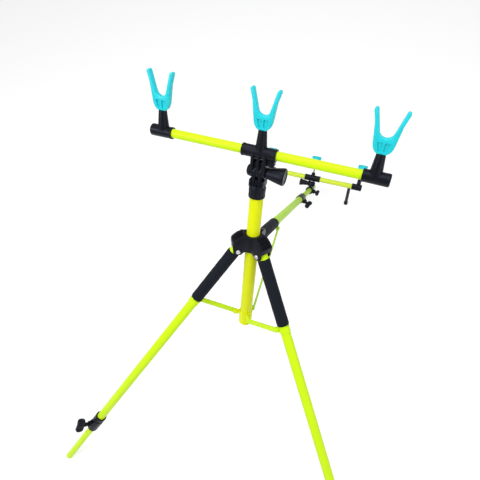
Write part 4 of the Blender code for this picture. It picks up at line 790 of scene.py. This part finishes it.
def stay_mesh(length):
    """A flat bar with round ends, an eye at its upper end and half a rivet at its lower one."""
    outline = arc((0, 0), STAY_HALF_WIDTH, 0, 180, 14) + arc((0, -length), STAY_HALF_WIDTH, 180, 360, 14)
    bar = plate(outline, STAY_FAR_FACE, STAY_FACE, 0.5 * MM)
    eye = along_y(rod(RIVET_HOLE_RADIUS, 30 * MM, -30 * MM, 28))
    head = moved(rivet_head(-STAY_FAR_FACE, -STAY_FAR_FACE - 1.5 * MM), Matrix.Rotation(math.pi / 2, 4, 'X'))
    return shaped(bar, [shifted(head, z=-length)], [eye])


for side, leg in LEGS.items():
    at = leg_place(side)
    # The rear stay takes its leg's darker copy of the coat, which is painted shade.
    paint = rear_shaded_paint if side == "rear" else leg_paint
    shown("stay_clip_band_" + side, clip_mesh(), at, "leg_" + side, "stay_clip_" + side, paint)
    pin_at = Vector((-STAY_OFF_LEG, 0, -STAY_ON_LEG))
    tilt = Matrix.Rotation(leg["slope"] - math.pi / 2, 3, 'Y')
    ear_at = tilt.inverted() @ Vector((STAY_RADIUS_AT_CUP - PIVOT_RADIUS, 0, STAY_HEIGHT_AT_CUP))
    reach = ear_at - pin_at
    swing = Matrix.Rotation(math.atan2(-reach.x, -reach.z), 4, 'Y')
    shown("stay_bar_" + side, stay_mesh(reach.length), at @ Matrix.Translation(pin_at) @ swing,
          "stay_" + side, "stay_" + side, paint)


# Head: a ribbed nylon socket on the column's top and a second moulding above it that holds the bar. Their
# plates mesh like a hinge round one steel bolt, which the big conical knob draws tight.
HEAD_BOTTOM = 127.5 * MM
HEAD_TOP = 156 * MM
HEAD_BOTTOM_RADIUS = 16.6 * MM
HEAD_TOP_RADIUS = 17.6 * MM
HEAD_RADIUS = 12.8 * MM
HEAD_PLATE = 6 * MM
HEAD_MIDDLE_HALF = 2.6 * MM
HEAD_SPINE_RADIUS = 8 * MM
HEAD_SPINE_RISE = 16 * MM
HEAD_SIDE = 15.2 * MM
HEAD_RIBS = (-12.4, -6.4, 0, 6.4, 12.4)
HEAD_RIB_HALF = 0.8 * MM
HEAD_RIB_RISE = 0.5 * MM
HEAD_GROOVES = (-9.05, -2.75, 2.75, 9.05)
HEAD_GROOVE_HALF = 0.9 * MM
HEAD_GROOVE_DEPTH = 2.4 * MM
BOLT_RADIUS = 3 * MM
BOLT_HOLE = 3.35 * MM
CAP_RADIUS = 12 * MM
BOLT_END_BORE = 3.3 * MM
KNOB_LENGTH = 38 * MM
KNOB_NECK = 11 * MM
KNOB_RIM = 17.1 * MM
KNOB_LOBES = 16
HINGE_EDGE = 0.25 * MM
BAR_YAW = math.radians(-2.5)
BAR_RISE = 39 * MM
SLEEVE_LEFT = 37 * MM
SLEEVE_RIGHT = 32.5 * MM
SLEEVE_RADIUS = 12.3 * MM
BAR_RADIUS = 9 * MM
STEM_HEIGHT = 43.6 * MM
STEM_BASE = 11.2 * MM
STEM_TOP = 8.1 * MM
SPIGOT_RADIUS = 4 * MM
SPIGOT_LENGTH = 14 * MM

head_at = stand @ turned_by(BAR_YAW)
pivot_at = stand @ Matrix.Translation((0, 0, HEAD_PIVOT)) @ turned_by(BAR_YAW)


def hinge_plate(low, high, radius, reach):
    """A plate square to X, round about the origin and running along Z to reach."""
    if reach > 0:
        outline = arc((0, 0), radius, 180, 360, 24) + [(radius, reach), (-radius, reach)]
    else:
        outline = arc((0, 0), radius, 0, 180, 24) + [(-radius, reach), (radius, reach)]
    return moved(plate(outline, low, high, HINGE_EDGE), Matrix.Rotation(-math.pi / 2, 4, 'Z'))


def block(low, high, edge):
    """A box between two corners with rolled edges."""
    outline = [(low[0], low[2]), (high[0], low[2]), (high[0], high[2]), (low[0], high[2])]
    return plate(outline, low[1], high[1], edge)


def head_base_mesh():
    """The socket with its ribs, its square neck with grooves and the two lower plates of the hinge."""
    seat_top = HEAD_PIVOT - HEAD_RADIUS - 1.6 * MM
    bead = HEAD_BOTTOM_RADIUS + 0.7 * MM
    socket = [(0, HEAD_TOP), (15.4 * MM, HEAD_TOP), (HEAD_TOP_RADIUS, HEAD_TOP - 8 * MM),
              (HEAD_BOTTOM_RADIUS + 0.2 * MM, HEAD_BOTTOM + 6 * MM),
              (bead, HEAD_BOTTOM + 5 * MM), (bead, HEAD_BOTTOM), (0, HEAD_BOTTOM)]
    parts = [block((-HEAD_SIDE, -HEAD_RADIUS, HEAD_TOP - 3 * MM),
                   (HEAD_SIDE, HEAD_RADIUS, seat_top), 0.8 * MM)]
    first = HEAD_MIDDLE_HALF + CLEARANCE
    for low, high in ((first, first + HEAD_PLATE), (-first - HEAD_PLATE, -first)):
        lower_plate = hinge_plate(low, high, HEAD_RADIUS, seat_top - 1 * MM - HEAD_PIVOT)
        parts.append(shifted(lower_plate, z=HEAD_PIVOT))
        spine = hinge_plate(low, high, HEAD_SPINE_RADIUS, -HEAD_SPINE_RISE)
        parts.append(shifted(spine, z=HEAD_PIVOT + HEAD_SPINE_RISE))
    for x in (rib * MM for rib in HEAD_RIBS):
        depth = math.sqrt(HEAD_TOP_RADIUS ** 2 - x ** 2) + HEAD_RIB_RISE
        for face in (-1, 1):
            near, far = sorted((face * (depth - 3 * MM), face * depth))
            parts.append(block((x - HEAD_RIB_HALF, near, HEAD_BOTTOM + 7 * MM),
                               (x + HEAD_RIB_HALF, far, HEAD_TOP - 7 * MM), 0.3 * MM))
    bore = rod(COLUMN_RADIUS + CLEARANCE, COLUMN_TOP + CLEARANCE, HEAD_BOTTOM - 8 * MM, 64)
    hole = shifted(along_x(rod(BOLT_HOLE, 30 * MM, -30 * MM, 24)), z=HEAD_PIVOT)
    cuts = [bore, hole]
    for x in (groove * MM for groove in HEAD_GROOVES):
        for face in (-1, 1):
            near, far = sorted((face * (HEAD_RADIUS - HEAD_GROOVE_DEPTH), face * (HEAD_RADIUS + 6 * MM)))
            cuts.append(block((x - HEAD_GROOVE_HALF, near, HEAD_TOP - 2 * MM),
                              (x + HEAD_GROOVE_HALF, far, seat_top + 1 * MM), 0))
    return shaped(turned(eased(socket, 0.8 * MM), 64), parts, cuts)


def stem_mesh(base, top, height):
    """A moulded cone with a low step at its foot."""
    profile = [(0, height), (top, height), (base - 0.4 * MM, base + 3 * MM), (base, base), (base, 0), (0, 0)]
    return turned(eased(profile, 0.8 * MM), 44)


def spigot_socket():
    """The hole in the top of a stem that takes a V rest's peg."""
    return rod(SPIGOT_RADIUS + CLEARANCE, STEM_HEIGHT + 5 * MM, STEM_HEIGHT - SPIGOT_LENGTH - CLEARANCE, 28)


def bar_sleeve(radius, low, high):
    """A sleeve along X with a raised bead round each open mouth."""
    thin = radius - 0.6 * MM
    profile = [(0, high), (radius, high), (radius, high - 3.5 * MM), (thin, high - 4.5 * MM),
               (thin, low + 4.5 * MM), (radius, low + 3.5 * MM), (radius, low), (0, low)]
    return along_x(turned(eased(profile, 0.7 * MM), 56))


def head_top_mesh():
    """The bar's sleeve with three hinge plates under it, a boss at its side and the middle stem on top."""
    parts = []
    outer = HEAD_SIDE - HEAD_PLATE
    for low, high in ((-HEAD_SIDE, -outer), (-HEAD_MIDDLE_HALF, HEAD_MIDDLE_HALF), (outer, HEAD_SIDE)):
        parts.append(hinge_plate(low, high, HEAD_RADIUS, BAR_RISE))
    boss_low = BAR_RISE - SLEEVE_RADIUS - 9.5 * MM
    parts.append(block((HEAD_SIDE - 1 * MM, -6 * MM, boss_low),
                       (HEAD_SIDE + 15 * MM, 6 * MM, BAR_RISE), 1 * MM))
    parts.append(shifted(stem_mesh(STEM_BASE, STEM_TOP, STEM_HEIGHT), z=BAR_RISE))
    bore = shifted(along_x(rod(BAR_RADIUS + CLEARANCE, 60 * MM, -60 * MM, 56)), z=BAR_RISE)
    bolt = along_x(rod(BOLT_HOLE, 40 * MM, -40 * MM, 24))
    socket = shifted(spigot_socket(), z=BAR_RISE)
    sleeve = shifted(bar_sleeve(SLEEVE_RADIUS, -SLEEVE_LEFT, SLEEVE_RIGHT), z=BAR_RISE)
    return shaped(sleeve, parts, [bore, bolt, socket])


def head_cap_mesh():
    """The round cap over the bolt's end, domed outside and bored for the bolt."""
    profile = [(0, 9 * MM), (5 * MM, 8.7 * MM), (9 * MM, 7.4 * MM), (11.2 * MM, 5.4 * MM),
               (CAP_RADIUS, 3 * MM), (CAP_RADIUS, 0), (BOLT_END_BORE, 0), (BOLT_END_BORE, 6 * MM),
               (0, 6 * MM)]
    cap = moved(turned(eased(profile, 0.7 * MM), 56), Matrix.Rotation(-math.pi / 2, 4, 'Y'))
    return shifted(cap, -HEAD_SIDE - CLEARANCE)


def head_knob_mesh():
    """The conical knob: a narrow neck, a flare with shallow grips and a dished end."""
    start = HEAD_SIDE + CLEARANCE
    end = start + KNOB_LENGTH
    neck, rim = KNOB_NECK, KNOB_RIM
    bored = start + 12.3 * MM
    profile = [(0, end - 1.5 * MM), (rim - 5 * MM, end - 1.5 * MM), (rim - 3.4 * MM, end),
               (rim - 1.4 * MM, end), (rim, end - 2 * MM), (rim, end - 5 * MM),
               ((neck + rim) / 2, start + 18 * MM), (neck + 0.4 * MM, start + 7 * MM),
               (neck, start + 3 * MM), (neck - 1 * MM, start), (BOLT_END_BORE, start),
               (BOLT_END_BORE, bored), (0, bored)]
    lobes = lobed(KNOB_LOBES, 0.035, start + 8 * MM, end - 1.5 * MM)
    return along_x(turned(eased(profile, 1.4 * MM), 96, wave=lobes))


shown("head_socket", head_base_mesh(), head_at, "column", "head_base", nylon)
shown("head_saddle", head_top_mesh(), pivot_at, "bar", "head_top", nylon)
shown("head_end_cap", head_cap_mesh(), pivot_at, "bar", "head_cap", nylon)
shown("head_clamp_knob", head_knob_mesh(), pivot_at, "head_knob", "head_knob", nylon)
frame["nodes"]["head_bolt"].data.materials.clear()
frame["nodes"]["head_bolt"].data.materials.append(zinc)


# Front bar: a painted tube through the head, with a moulded end piece on each end. The end pieces are closed
# outside, carry a conical stem for a V rest and are pressed on.
REST_SPACING = 211 * MM
BAR_HALF = 235.2 * MM
BAR_WALL = 1.2 * MM
END_RADIUS = 12 * MM
END_INNER = 21.5 * MM
END_OUTER = 27 * MM


def end_piece(radius, bar_radius, inner, outer, stem, socket):
    """A closed sleeve with its stem at the origin; the bar comes in from -X."""
    profile = [(0, outer), (radius - 2.2 * MM, outer), (radius - 0.6 * MM, outer - 0.8 * MM),
               (radius, outer - 2.4 * MM), (radius, outer - 5 * MM), (radius - 0.4 * MM, 5.5 * MM - inner),
               (radius, 4 * MM - inner), (radius, -inner), (0, -inner)]
    body = along_x(turned(eased(profile, 0.7 * MM), 56))
    bore = along_x(rod(bar_radius + CLEARANCE, outer - 2.5 * MM, -inner - 6 * MM, 56))
    return shaped(body, [stem], [bore, socket])


front_bar = along_x(tube(BAR_RADIUS, BAR_RADIUS - BAR_WALL, BAR_HALF, -BAR_HALF, 64))
shown("front_bar", front_bar, pivot_at @ Matrix.Translation((0, 0, BAR_RISE)), "bar", "bar_tube",
      leg_paint)
for side, sign in (("right", 1), ("left", -1)):
    stem = stem_mesh(STEM_BASE, STEM_TOP, STEM_HEIGHT)
    end = end_piece(END_RADIUS, BAR_RADIUS, END_INNER, END_OUTER, stem, spigot_socket())
    at = pivot_at @ Matrix.Translation((sign * REST_SPACING, 0, BAR_RISE))
    at = at @ turned_by(0 if sign > 0 else math.pi)
    shown("bar_end_piece_" + side, end, at, "bar", "bar_end_" + side, nylon)


# V rests: one soft turquoise moulding each, a flat-sided fork with round finger-thick arms. Its belly has two
# shallow pockets on both faces, and a peg under it turns in the stem.
V_HALF = 6 * MM
V_HEIGHT = 73.7 * MM
V_TIP_SPREAD = 24.8 * MM
V_TIP_RADIUS = 3.4 * MM
V_NOTCH_HEIGHT = 27 * MM
V_NOTCH_RADIUS = 12.3 * MM
V_EDGE = 1.5 * MM
V_POCKET_DEPTH = 2.6 * MM
TURQUOISE = (0.005, 0.640, 0.720)

turquoise = finish_material("turquoise plastic", TURQUOISE, (0.10, 0.78, 0.84), (0.34, 0.50), (40.0, 0.07),
                            (1700.0, 0.16, 0.0002), (0.35, 0.2), Subsurface_Weight=0.08,
                            Subsurface_Scale=0.003, Specular_IOR_Level=0.45)


def v_outline():
    """The fork seen from the front: a round belly, arms that spread a little and round tips."""
    tip = (V_TIP_SPREAD, V_HEIGHT - V_TIP_RADIUS)
    notch = (0, V_NOTCH_HEIGHT + V_NOTCH_RADIUS)
    half = [(8 * MM, 0.3 * MM), (13 * MM, 4 * MM), (16.5 * MM, 10 * MM), (18 * MM, 16 * MM),
            (22.6 * MM, 50 * MM)]
    half = eased(half, 3 * MM) + arc(tip, V_TIP_RADIUS, -10, 160, 16)
    half += arc(notch, V_NOTCH_RADIUS, -20, -90, 12)
    return half + [(-x, z) for x, z in reversed(half[:-1])]


def v_rest_mesh():
    body = plate(v_outline(), -V_HALF, V_HALF, V_EDGE)
    pocket_floor = V_HALF - V_POCKET_DEPTH
    cuts = []
    for sign in (-1, 1):
        pocket = [(sign * 1.4 * MM, 5 * MM), (sign * 7 * MM, 5 * MM), (sign * 11.6 * MM, 20.5 * MM),
                  (sign * 1.4 * MM, 20.5 * MM)]
        for low, high in ((pocket_floor, V_HALF + 6 * MM), (-V_HALF - 6 * MM, -pocket_floor)):
            cuts.append(plate(eased(pocket, 1.6 * MM, True), low, high))
    return shaped(body, [rod(SPIGOT_RADIUS, 2.5 * MM, -SPIGOT_LENGTH, 28)], cuts)


for name, x in (("left", -REST_SPACING), ("middle", 0), ("right", REST_SPACING)):
    at = pivot_at @ Matrix.Translation((x, 0, BAR_RISE + STEM_HEIGHT))
    shown("rod_fork_" + name, v_rest_mesh(), at, "v_rest_" + name, "v_rest_" + name,
          turquoise)


# Rear clamp: a nylon ring on the rear leg's lower tube, with a wing screw that grips the tube and a knuckle
# on its upper side. A long conical knob draws the two plates of the rear bar's sleeve against that knuckle.
CLAMP_FROM_FOOT = 106 * MM
CLAMP_RADIUS = 15.8 * MM
CLAMP_HALF = 16.5 * MM
KNUCKLE_OFF_LEG = 26 * MM
KNUCKLE_RADIUS = 10.5 * MM
KNUCKLE_HALF = 5.5 * MM
REAR_SIDE = 11.8 * MM
REAR_SLEEVE_HALF = 31 * MM
REAR_LIFT = 24 * MM
CLAMP_SCREW_TURN = math.radians(-100)
CLAMP_WING_TURN = math.radians(45)
CLAMP_WING_END = 40 * MM
CLAMP_WING_SPAN = 12 * MM
CLAMP_WING_THICK = 13 * MM
KNUCKLE_ROOT = 10.8 * MM
REAR_KNOB_LENGTH = 36 * MM
REAR_KNOB_NECK = 8.5 * MM
REAR_KNOB_RIM = 14 * MM
REAR_KNOB_WAIST = 10.3 * MM
REAR_KNOB_LOBES = 10
HINGE_TURN = Matrix(((0, 0, 1), (-1, 0, 0), (0, -1, 0))).to_4x4()

clamp_at = leg_place("rear") @ Matrix.Translation((0, 0, CLAMP_FROM_FOOT - REAR_LEG["reach"]))
rear_bar_at = clamp_at @ Matrix.Translation((KNUCKLE_OFF_LEG, 0, 0)) @ HINGE_TURN
clamp_screw_at = clamp_at @ turned_by(CLAMP_SCREW_TURN) @ Matrix.Rotation(CLAMP_WING_TURN, 4, 'X')


def rear_clamp_mesh():
    """The ring with a bead at each end, the knuckle on its back and the boss of its wing screw."""
    ring = [(0, CLAMP_HALF), (CLAMP_RADIUS, CLAMP_HALF), (CLAMP_RADIUS, CLAMP_HALF - 4 * MM),
            (CLAMP_RADIUS - 0.7 * MM, CLAMP_HALF - 5 * MM), (CLAMP_RADIUS - 0.7 * MM, 5 * MM - CLAMP_HALF),
            (CLAMP_RADIUS, 4 * MM - CLAMP_HALF), (CLAMP_RADIUS, -CLAMP_HALF), (0, -CLAMP_HALF)]
    outline = arc((KNUCKLE_OFF_LEG, 0), KNUCKLE_RADIUS, -90, 90, 22)
    outline += [(KNUCKLE_ROOT, KNUCKLE_RADIUS), (KNUCKLE_ROOT, -KNUCKLE_RADIUS)]
    lobe = plate(outline, -KNUCKLE_HALF, KNUCKLE_HALF, 0.6 * MM)
    boss = moved(screw_boss(), turned_by(CLAMP_SCREW_TURN))
    cuts = [rod(SHANK_RADIUS + CLEARANCE, 30 * MM, -30 * MM, 56),
            moved(screw_hole(), turned_by(CLAMP_SCREW_TURN)),
            shifted(along_y(rod(BOLT_HOLE, 20 * MM, -20 * MM, 24)), KNUCKLE_OFF_LEG)]
    return shaped(turned(eased(ring, 0.7 * MM), 56), [lobe, boss], cuts)


def rear_knob_mesh():
    """The knob with its bolt through the hinge and the bolt's round head on the far side."""
    start = REAR_SIDE + CLEARANCE
    end = start + REAR_KNOB_LENGTH
    neck = REAR_KNOB_NECK
    profile = [(0, end - 1 * MM), (9 * MM, end - 1 * MM), (10.5 * MM, end),
               (REAR_KNOB_RIM - 0.8 * MM, end - 1.2 * MM), (REAR_KNOB_RIM, end - 4 * MM),
               (REAR_KNOB_WAIST, REAR_SLEEVE_HALF + 0.5 * MM), (9.3 * MM, start + 8 * MM),
               (neck, start + 4 * MM), (neck, start), (BOLT_RADIUS, start), (BOLT_RADIUS, -start),
               (neck, -start), (neck, -start - 2.2 * MM), (neck - 0.8 * MM, -start - 3 * MM),
               (0, -start - 3 * MM)]
    lobes = lobed(REAR_KNOB_LOBES, 0.07, start + 8 * MM, end - 1 * MM)
    knob = turned(eased(profile, 1 * MM), 72, wave=lobes)
    return moved(knob, Matrix.Rotation(-math.pi / 2, 4, 'Y'))


shown("rear_clamp_ring", rear_clamp_mesh(), clamp_at, "rear_clamp", "rear_clamp", nylon)
clamp_screw = wing_screw(CLAMP_WING_END, CLAMP_WING_SPAN, CLAMP_WING_THICK)
shown("rear_wing_screw", clamp_screw, clamp_screw_at, "rear_screw", "rear_clamp_screw",
      nylon)
shown("rear_knob", rear_knob_mesh(), rear_bar_at, "rear_knob", "rear_tilt_knob", nylon)


# Rear bar: a painted tube in a small sleeve with a short middle stub. Two tee pieces close its ends, a steel
# stud lifts the middle cup, and a short prop with a rubber tip keeps the bar's right end off the ground.
REAR_BAR_RADIUS = 9.8 * MM
REAR_SLEEVE_RADIUS = 12.8 * MM
REAR_SPACING = 183.5 * MM
REAR_STUB = 23 * MM
REAR_STEM_BASE = 8.4 * MM
REAR_STEM_TOP = 6.8 * MM
PEG_RADIUS = 2.6 * MM
PEG_LENGTH = 10 * MM
TEE_INNER = 24 * MM
TEE_OUTER = 15 * MM
REAR_BAR_HALF = 195.7 * MM
PROP_OFFSET = 151 * MM
PROP_RADIUS = 6.2 * MM
PROP_TIP_RADIUS = 7.8 * MM
PROP_TIP_LENGTH = 16 * MM
PROP_TIP_FLOOR = 5.7 * MM
PROP_SPIGOT_RADIUS = 2.5 * MM
SADDLE_TURN = 0.02
# The rear bar's colour is a paler copy of the lime coat: painted light.
REAR_BAR_LIT_COLOUR = (0.66, 0.80, 0.060)

rear_bar_lit_paint = lacquer("rear bar paint with painted light", REAR_BAR_LIT_COLOUR)
blackened = finish_material("blackened steel", (0.16, 0.16, 0.17), (0.40, 0.40, 0.42), (0.34, 0.50),
                            (60.0, 0.15), (2200.0, 0.12, 0.0001), (0.4, 0.3), Metallic=1.0)
rubber = finish_material("prop rubber", (0.012, 0.012, 0.013), (0.05, 0.05, 0.05), (0.74, 0.88),
                         (90.0, 0.3), (1300.0, 0.4, 0.0003), (0.4, 0.2), Specular_IOR_Level=0.3)


def peg_socket(height):
    """The hole in the top of a stem that takes a butt cup's peg."""
    return rod(PEG_RADIUS + CLEARANCE, height + 5 * MM, height - PEG_LENGTH - CLEARANCE, 24)


def rear_sleeve_mesh():
    sleeve = shifted(bar_sleeve(REAR_SLEEVE_RADIUS, -REAR_SLEEVE_HALF, REAR_SLEEVE_HALF), z=REAR_LIFT)
    near = KNUCKLE_HALF + CLEARANCE
    parts = [hinge_plate(near, REAR_SIDE, KNUCKLE_RADIUS, REAR_LIFT),
             hinge_plate(-REAR_SIDE, -near, KNUCKLE_RADIUS, REAR_LIFT),
             shifted(stem_mesh(REAR_STEM_BASE, REAR_STEM_TOP, REAR_STUB), z=REAR_LIFT)]
    cuts = [shifted(along_x(rod(REAR_BAR_RADIUS + CLEARANCE, 50 * MM, -50 * MM, 48)), z=REAR_LIFT),
            along_x(rod(BOLT_HOLE, 30 * MM, -30 * MM, 24)), shifted(peg_socket(REAR_STUB), z=REAR_LIFT)]
    return shaped(sleeve, parts, cuts)


lift_at = rear_bar_at @ Matrix.Translation((0, 0, REAR_LIFT))
shown("rear_bar_sleeve", rear_sleeve_mesh(), rear_bar_at, "rear_bar", "rear_sleeve", nylon)
for side, sign in (("right", 1), ("left", -1)):
    tee = end_piece(REAR_SLEEVE_RADIUS, REAR_BAR_RADIUS, TEE_INNER, TEE_OUTER,
                    stem_mesh(REAR_STEM_BASE, REAR_STEM_TOP, STEM_HEIGHT), peg_socket(STEM_HEIGHT))
    at = lift_at @ Matrix.Translation((sign * REAR_SPACING, 0, 0)) @ turned_by(0 if sign > 0 else math.pi)
    shown("rear_tee_" + side, tee, at, "rear_bar", "rear_end_" + side, nylon)
stud = rod(PEG_RADIUS, STEM_HEIGHT + PEG_LENGTH - CLEARANCE, REAR_STUB - PEG_LENGTH, 32)
shown("middle_stud", stud, lift_at, "rear_bar", "rear_stud", blackened)

drop = lift_at.translation.z
upright = lift_at.to_3x3().inverted().to_4x4()
prop_at = lift_at @ Matrix.Translation((PROP_OFFSET, 0, 0)) @ upright
shaft = rod(PROP_RADIUS, -5.05 * MM, PROP_TIP_LENGTH - 10 * MM - drop, 36)
saddle = along_x(rod(REAR_BAR_RADIUS + CLEARANCE, 20 * MM, -20 * MM, 48))
saddle = moved(saddle, Matrix.Rotation(SADDLE_TURN, 4, 'X'))
spigot = rod(PROP_SPIGOT_RADIUS, -5.8 * MM, -16.1 * MM, 24)
prop = shaped(shaped(shaft, cut=[saddle]), [spigot])
shown("prop_rod", prop, prop_at, "rear_bar", "prop", nylon)
tip_top, tip_low, tip_bore = PROP_TIP_LENGTH - drop, -drop, PROP_RADIUS + CLEARANCE
tip_floor = tip_low + PROP_TIP_FLOOR
tip_profile = [(0, tip_floor), (tip_bore, tip_floor), (tip_bore, tip_top),
               (PROP_TIP_RADIUS - 0.5 * MM, tip_top), (PROP_TIP_RADIUS, tip_top - 1.5 * MM),
               (PROP_TIP_RADIUS, tip_low + 7.5 * MM), (PROP_TIP_RADIUS - 0.5 * MM, tip_low + 6.8 * MM),
               (PROP_TIP_RADIUS, tip_low + 6.1 * MM), (PROP_TIP_RADIUS, tip_low + 1.5 * MM),
               (PROP_TIP_RADIUS - 1 * MM, tip_low), (0, tip_low)]
prop_tip = turned(eased(tip_profile, 0.5 * MM), 40)
shown("prop_rubber", prop_tip, prop_at, "rear_bar", "prop_tip", rubber)
prop_hole = rod(PROP_SPIGOT_RADIUS + CLEARANCE, 0, -19.6 * MM, 24)
prop_hole = moved(prop_hole, Matrix.Translation((PROP_OFFSET, 0, 0)) @ upright)
rear_tube = along_x(tube(REAR_BAR_RADIUS, REAR_BAR_RADIUS - BAR_WALL, REAR_BAR_HALF, -REAR_BAR_HALF, 56))
# The rear bar's pipe takes that paler copy of the coat, which is painted light.
shown("rear_bar_pipe", shaped(rear_tube, cut=[prop_hole]), lift_at, "rear_bar", "rear_bar_tube",
      rear_bar_lit_paint)


# Butt cups: deep turquoise mouldings that hold the rods' lower ends. The outer two stand on the tee pieces
# by a peg of their own, and the middle one is pushed over the steel stud.
CUP_RIM = 18.5 * MM
CUP_FLOOR = 18 * MM
CUP_HEIGHT = 44 * MM
CUP_WALL = 2.6 * MM


def butt_cup_mesh(on_stud):
    """A deep cup with a beaded rim, with a peg below or, on the stud, a blind hole."""
    inner = CUP_RIM - CUP_WALL
    top = CUP_HEIGHT
    profile = [(0, CUP_FLOOR), (inner - 3 * MM, CUP_FLOOR), (inner - 0.6 * MM, CUP_FLOOR + 2.2 * MM),
               (inner, CUP_FLOOR + 5 * MM), (inner, top - 1.2 * MM), (inner + 0.7 * MM, top),
               (CUP_RIM - 0.8 * MM, top), (CUP_RIM, top - 1 * MM), (CUP_RIM, top - 4 * MM),
               (CUP_RIM - 0.6 * MM, top - 5 * MM), (CUP_RIM - 0.6 * MM, 24 * MM), (CUP_RIM - 3 * MM, 17 * MM),
               (9 * MM, 0.3 * MM)]
    if on_stud:
        hole = PEG_RADIUS + CLEARANCE
        profile += [(hole, 0.3 * MM), (hole, PEG_LENGTH), (0, PEG_LENGTH)]
    else:
        profile += [(PEG_RADIUS, 0.3 * MM), (PEG_RADIUS, -PEG_LENGTH), (0, -PEG_LENGTH)]
    return turned(eased(profile, 0.7 * MM), 64)


for name, x in (("left", -REAR_SPACING), ("middle", 0), ("right", REAR_SPACING)):
    at = lift_at @ Matrix.Translation((x, 0, STEM_HEIGHT))
    shown("butt_cup_moulding_" + name, butt_cup_mesh(x == 0), at, "butt_cup_" + name, "butt_cup_" + name,
          turquoise)


# Studio: a plain pale floor that reads as white to the camera and keeps the soft shadows, a wide overhead
# panel, a key from the upper left, a weak fill from the right and a camera where the photographer stood.
CAMERA_AT = Vector((190.97, -675.70, 512.70)) * MM
CAMERA_LOOK = Vector((-0.2524, 0.7762, -0.5777))
CAMERA_ROLL = math.radians(4.06)
CAMERA_LENS = 29.49
CAMERA_SENSOR = 36
FLOOR_HALF = 4
FLOOR_DEPTH = 0.02


def seen_by(tree, kinds):
    """A mask that is 1 for any of the named kinds of ray."""
    rays = add_node(tree, 'ShaderNodeLightPath')
    mask = rays.outputs[kinds[0]]
    for kind in kinds[1:]:
        either = add_node(tree, 'ShaderNodeMath', operation='MAXIMUM')
        tree.links.new(mask, either.inputs[0])
        tree.links.new(rays.outputs[kind], either.inputs[1])
        mask = either.outputs[0]
    return mask


floor_mesh = block((-FLOOR_HALF, -FLOOR_HALF, -FLOOR_DEPTH), (FLOOR_HALF, FLOOR_HALF, 0), 0)
floor = bpy.data.objects.new("studio_floor", floor_mesh)
bpy.context.scene.collection.objects.link(floor)
floor_paint = bpy.data.materials.new("pale floor")
floor_paint.use_nodes = True
tree = floor_paint.node_tree
tree.nodes.clear()
output = add_node(tree, 'ShaderNodeOutputMaterial')
matt = add_node(tree, 'ShaderNodeBsdfDiffuse', Color=(0.80, 0.80, 0.81, 1))
seen = add_node(tree, 'ShaderNodeBsdfDiffuse', Color=(0.46, 0.46, 0.465, 1))
glow = add_node(tree, 'ShaderNodeEmission', Color=(1, 1, 1, 1), Strength=0.64)
both = add_node(tree, 'ShaderNodeAddShader')
pick = add_node(tree, 'ShaderNodeMixShader')
tree.links.new(seen.outputs[0], both.inputs[0])
tree.links.new(glow.outputs[0], both.inputs[1])
tree.links.new(seen_by(tree, ("Is Camera Ray", "Is Glossy Ray", "Is Transmission Ray")), pick.inputs[0])
tree.links.new(matt.outputs[0], pick.inputs[1])
tree.links.new(both.outputs[0], pick.inputs[2])
tree.links.new(pick.outputs[0], output.inputs["Surface"])
floor_mesh.materials.append(floor_paint)

world = bpy.data.worlds.new("studio")
bpy.context.scene.world = world
world.use_nodes = True
tree = world.node_tree
tree.nodes.clear()
output = add_node(tree, 'ShaderNodeOutputWorld')
soft = add_node(tree, 'ShaderNodeBackground', Color=(1, 1, 1, 1), Strength=0.42)
white = add_node(tree, 'ShaderNodeBackground', Color=(1, 1, 1, 1), Strength=1.0)
pick = add_node(tree, 'ShaderNodeMixShader')
tree.links.new(seen_by(tree, ("Is Camera Ray", "Is Transmission Ray")), pick.inputs[0])
tree.links.new(soft.outputs[0], pick.inputs[1])
tree.links.new(white.outputs[0], pick.inputs[2])
tree.links.new(pick.outputs[0], output.inputs["Surface"])


def panel(name, place, aim, size, power):
    """A square soft light that faces a point."""
    lamp = bpy.data.lights.new(name, 'AREA')
    lamp.shape = 'SQUARE'
    lamp.size = size
    lamp.energy = power
    holder = bpy.data.objects.new(name, lamp)
    bpy.context.scene.collection.objects.link(holder)
    holder.location = place
    holder.rotation_euler = (Vector(aim) - Vector(place)).to_track_quat('-Z', 'Y').to_euler()


panel("overhead", (0.0, 0.2, 2.6), (0, 0, 0.4), 2.2, 34)
panel("key", (-1.5, -1.5, 2.1), (0, 0, 0.5), 1.2, 26)
panel("fill", (1.9, -1.0, 1.2), (0, 0, 0.5), 1.6, 10)

side_way = CAMERA_LOOK.cross(Vector((0, 0, 1))).normalized()
up_way = side_way.cross(CAMERA_LOOK).normalized()
camera_right = side_way * math.cos(CAMERA_ROLL) + up_way * math.sin(CAMERA_ROLL)
camera_up = up_way * math.cos(CAMERA_ROLL) - side_way * math.sin(CAMERA_ROLL)
axes = Matrix((camera_right, camera_up, -CAMERA_LOOK.normalized())).transposed().to_4x4()
lens = bpy.data.cameras.new("camera")
lens.lens = CAMERA_LENS
lens.sensor_width = CAMERA_SENSOR
lens.clip_start = 0.01
camera = bpy.data.objects.new("camera", lens)
bpy.context.scene.collection.objects.link(camera)
camera.matrix_world = stand @ Matrix.Translation(CAMERA_AT) @ axes
bpy.context.scene.camera = camera
bpy.context.scene.view_settings.view_transform = 'Standard'
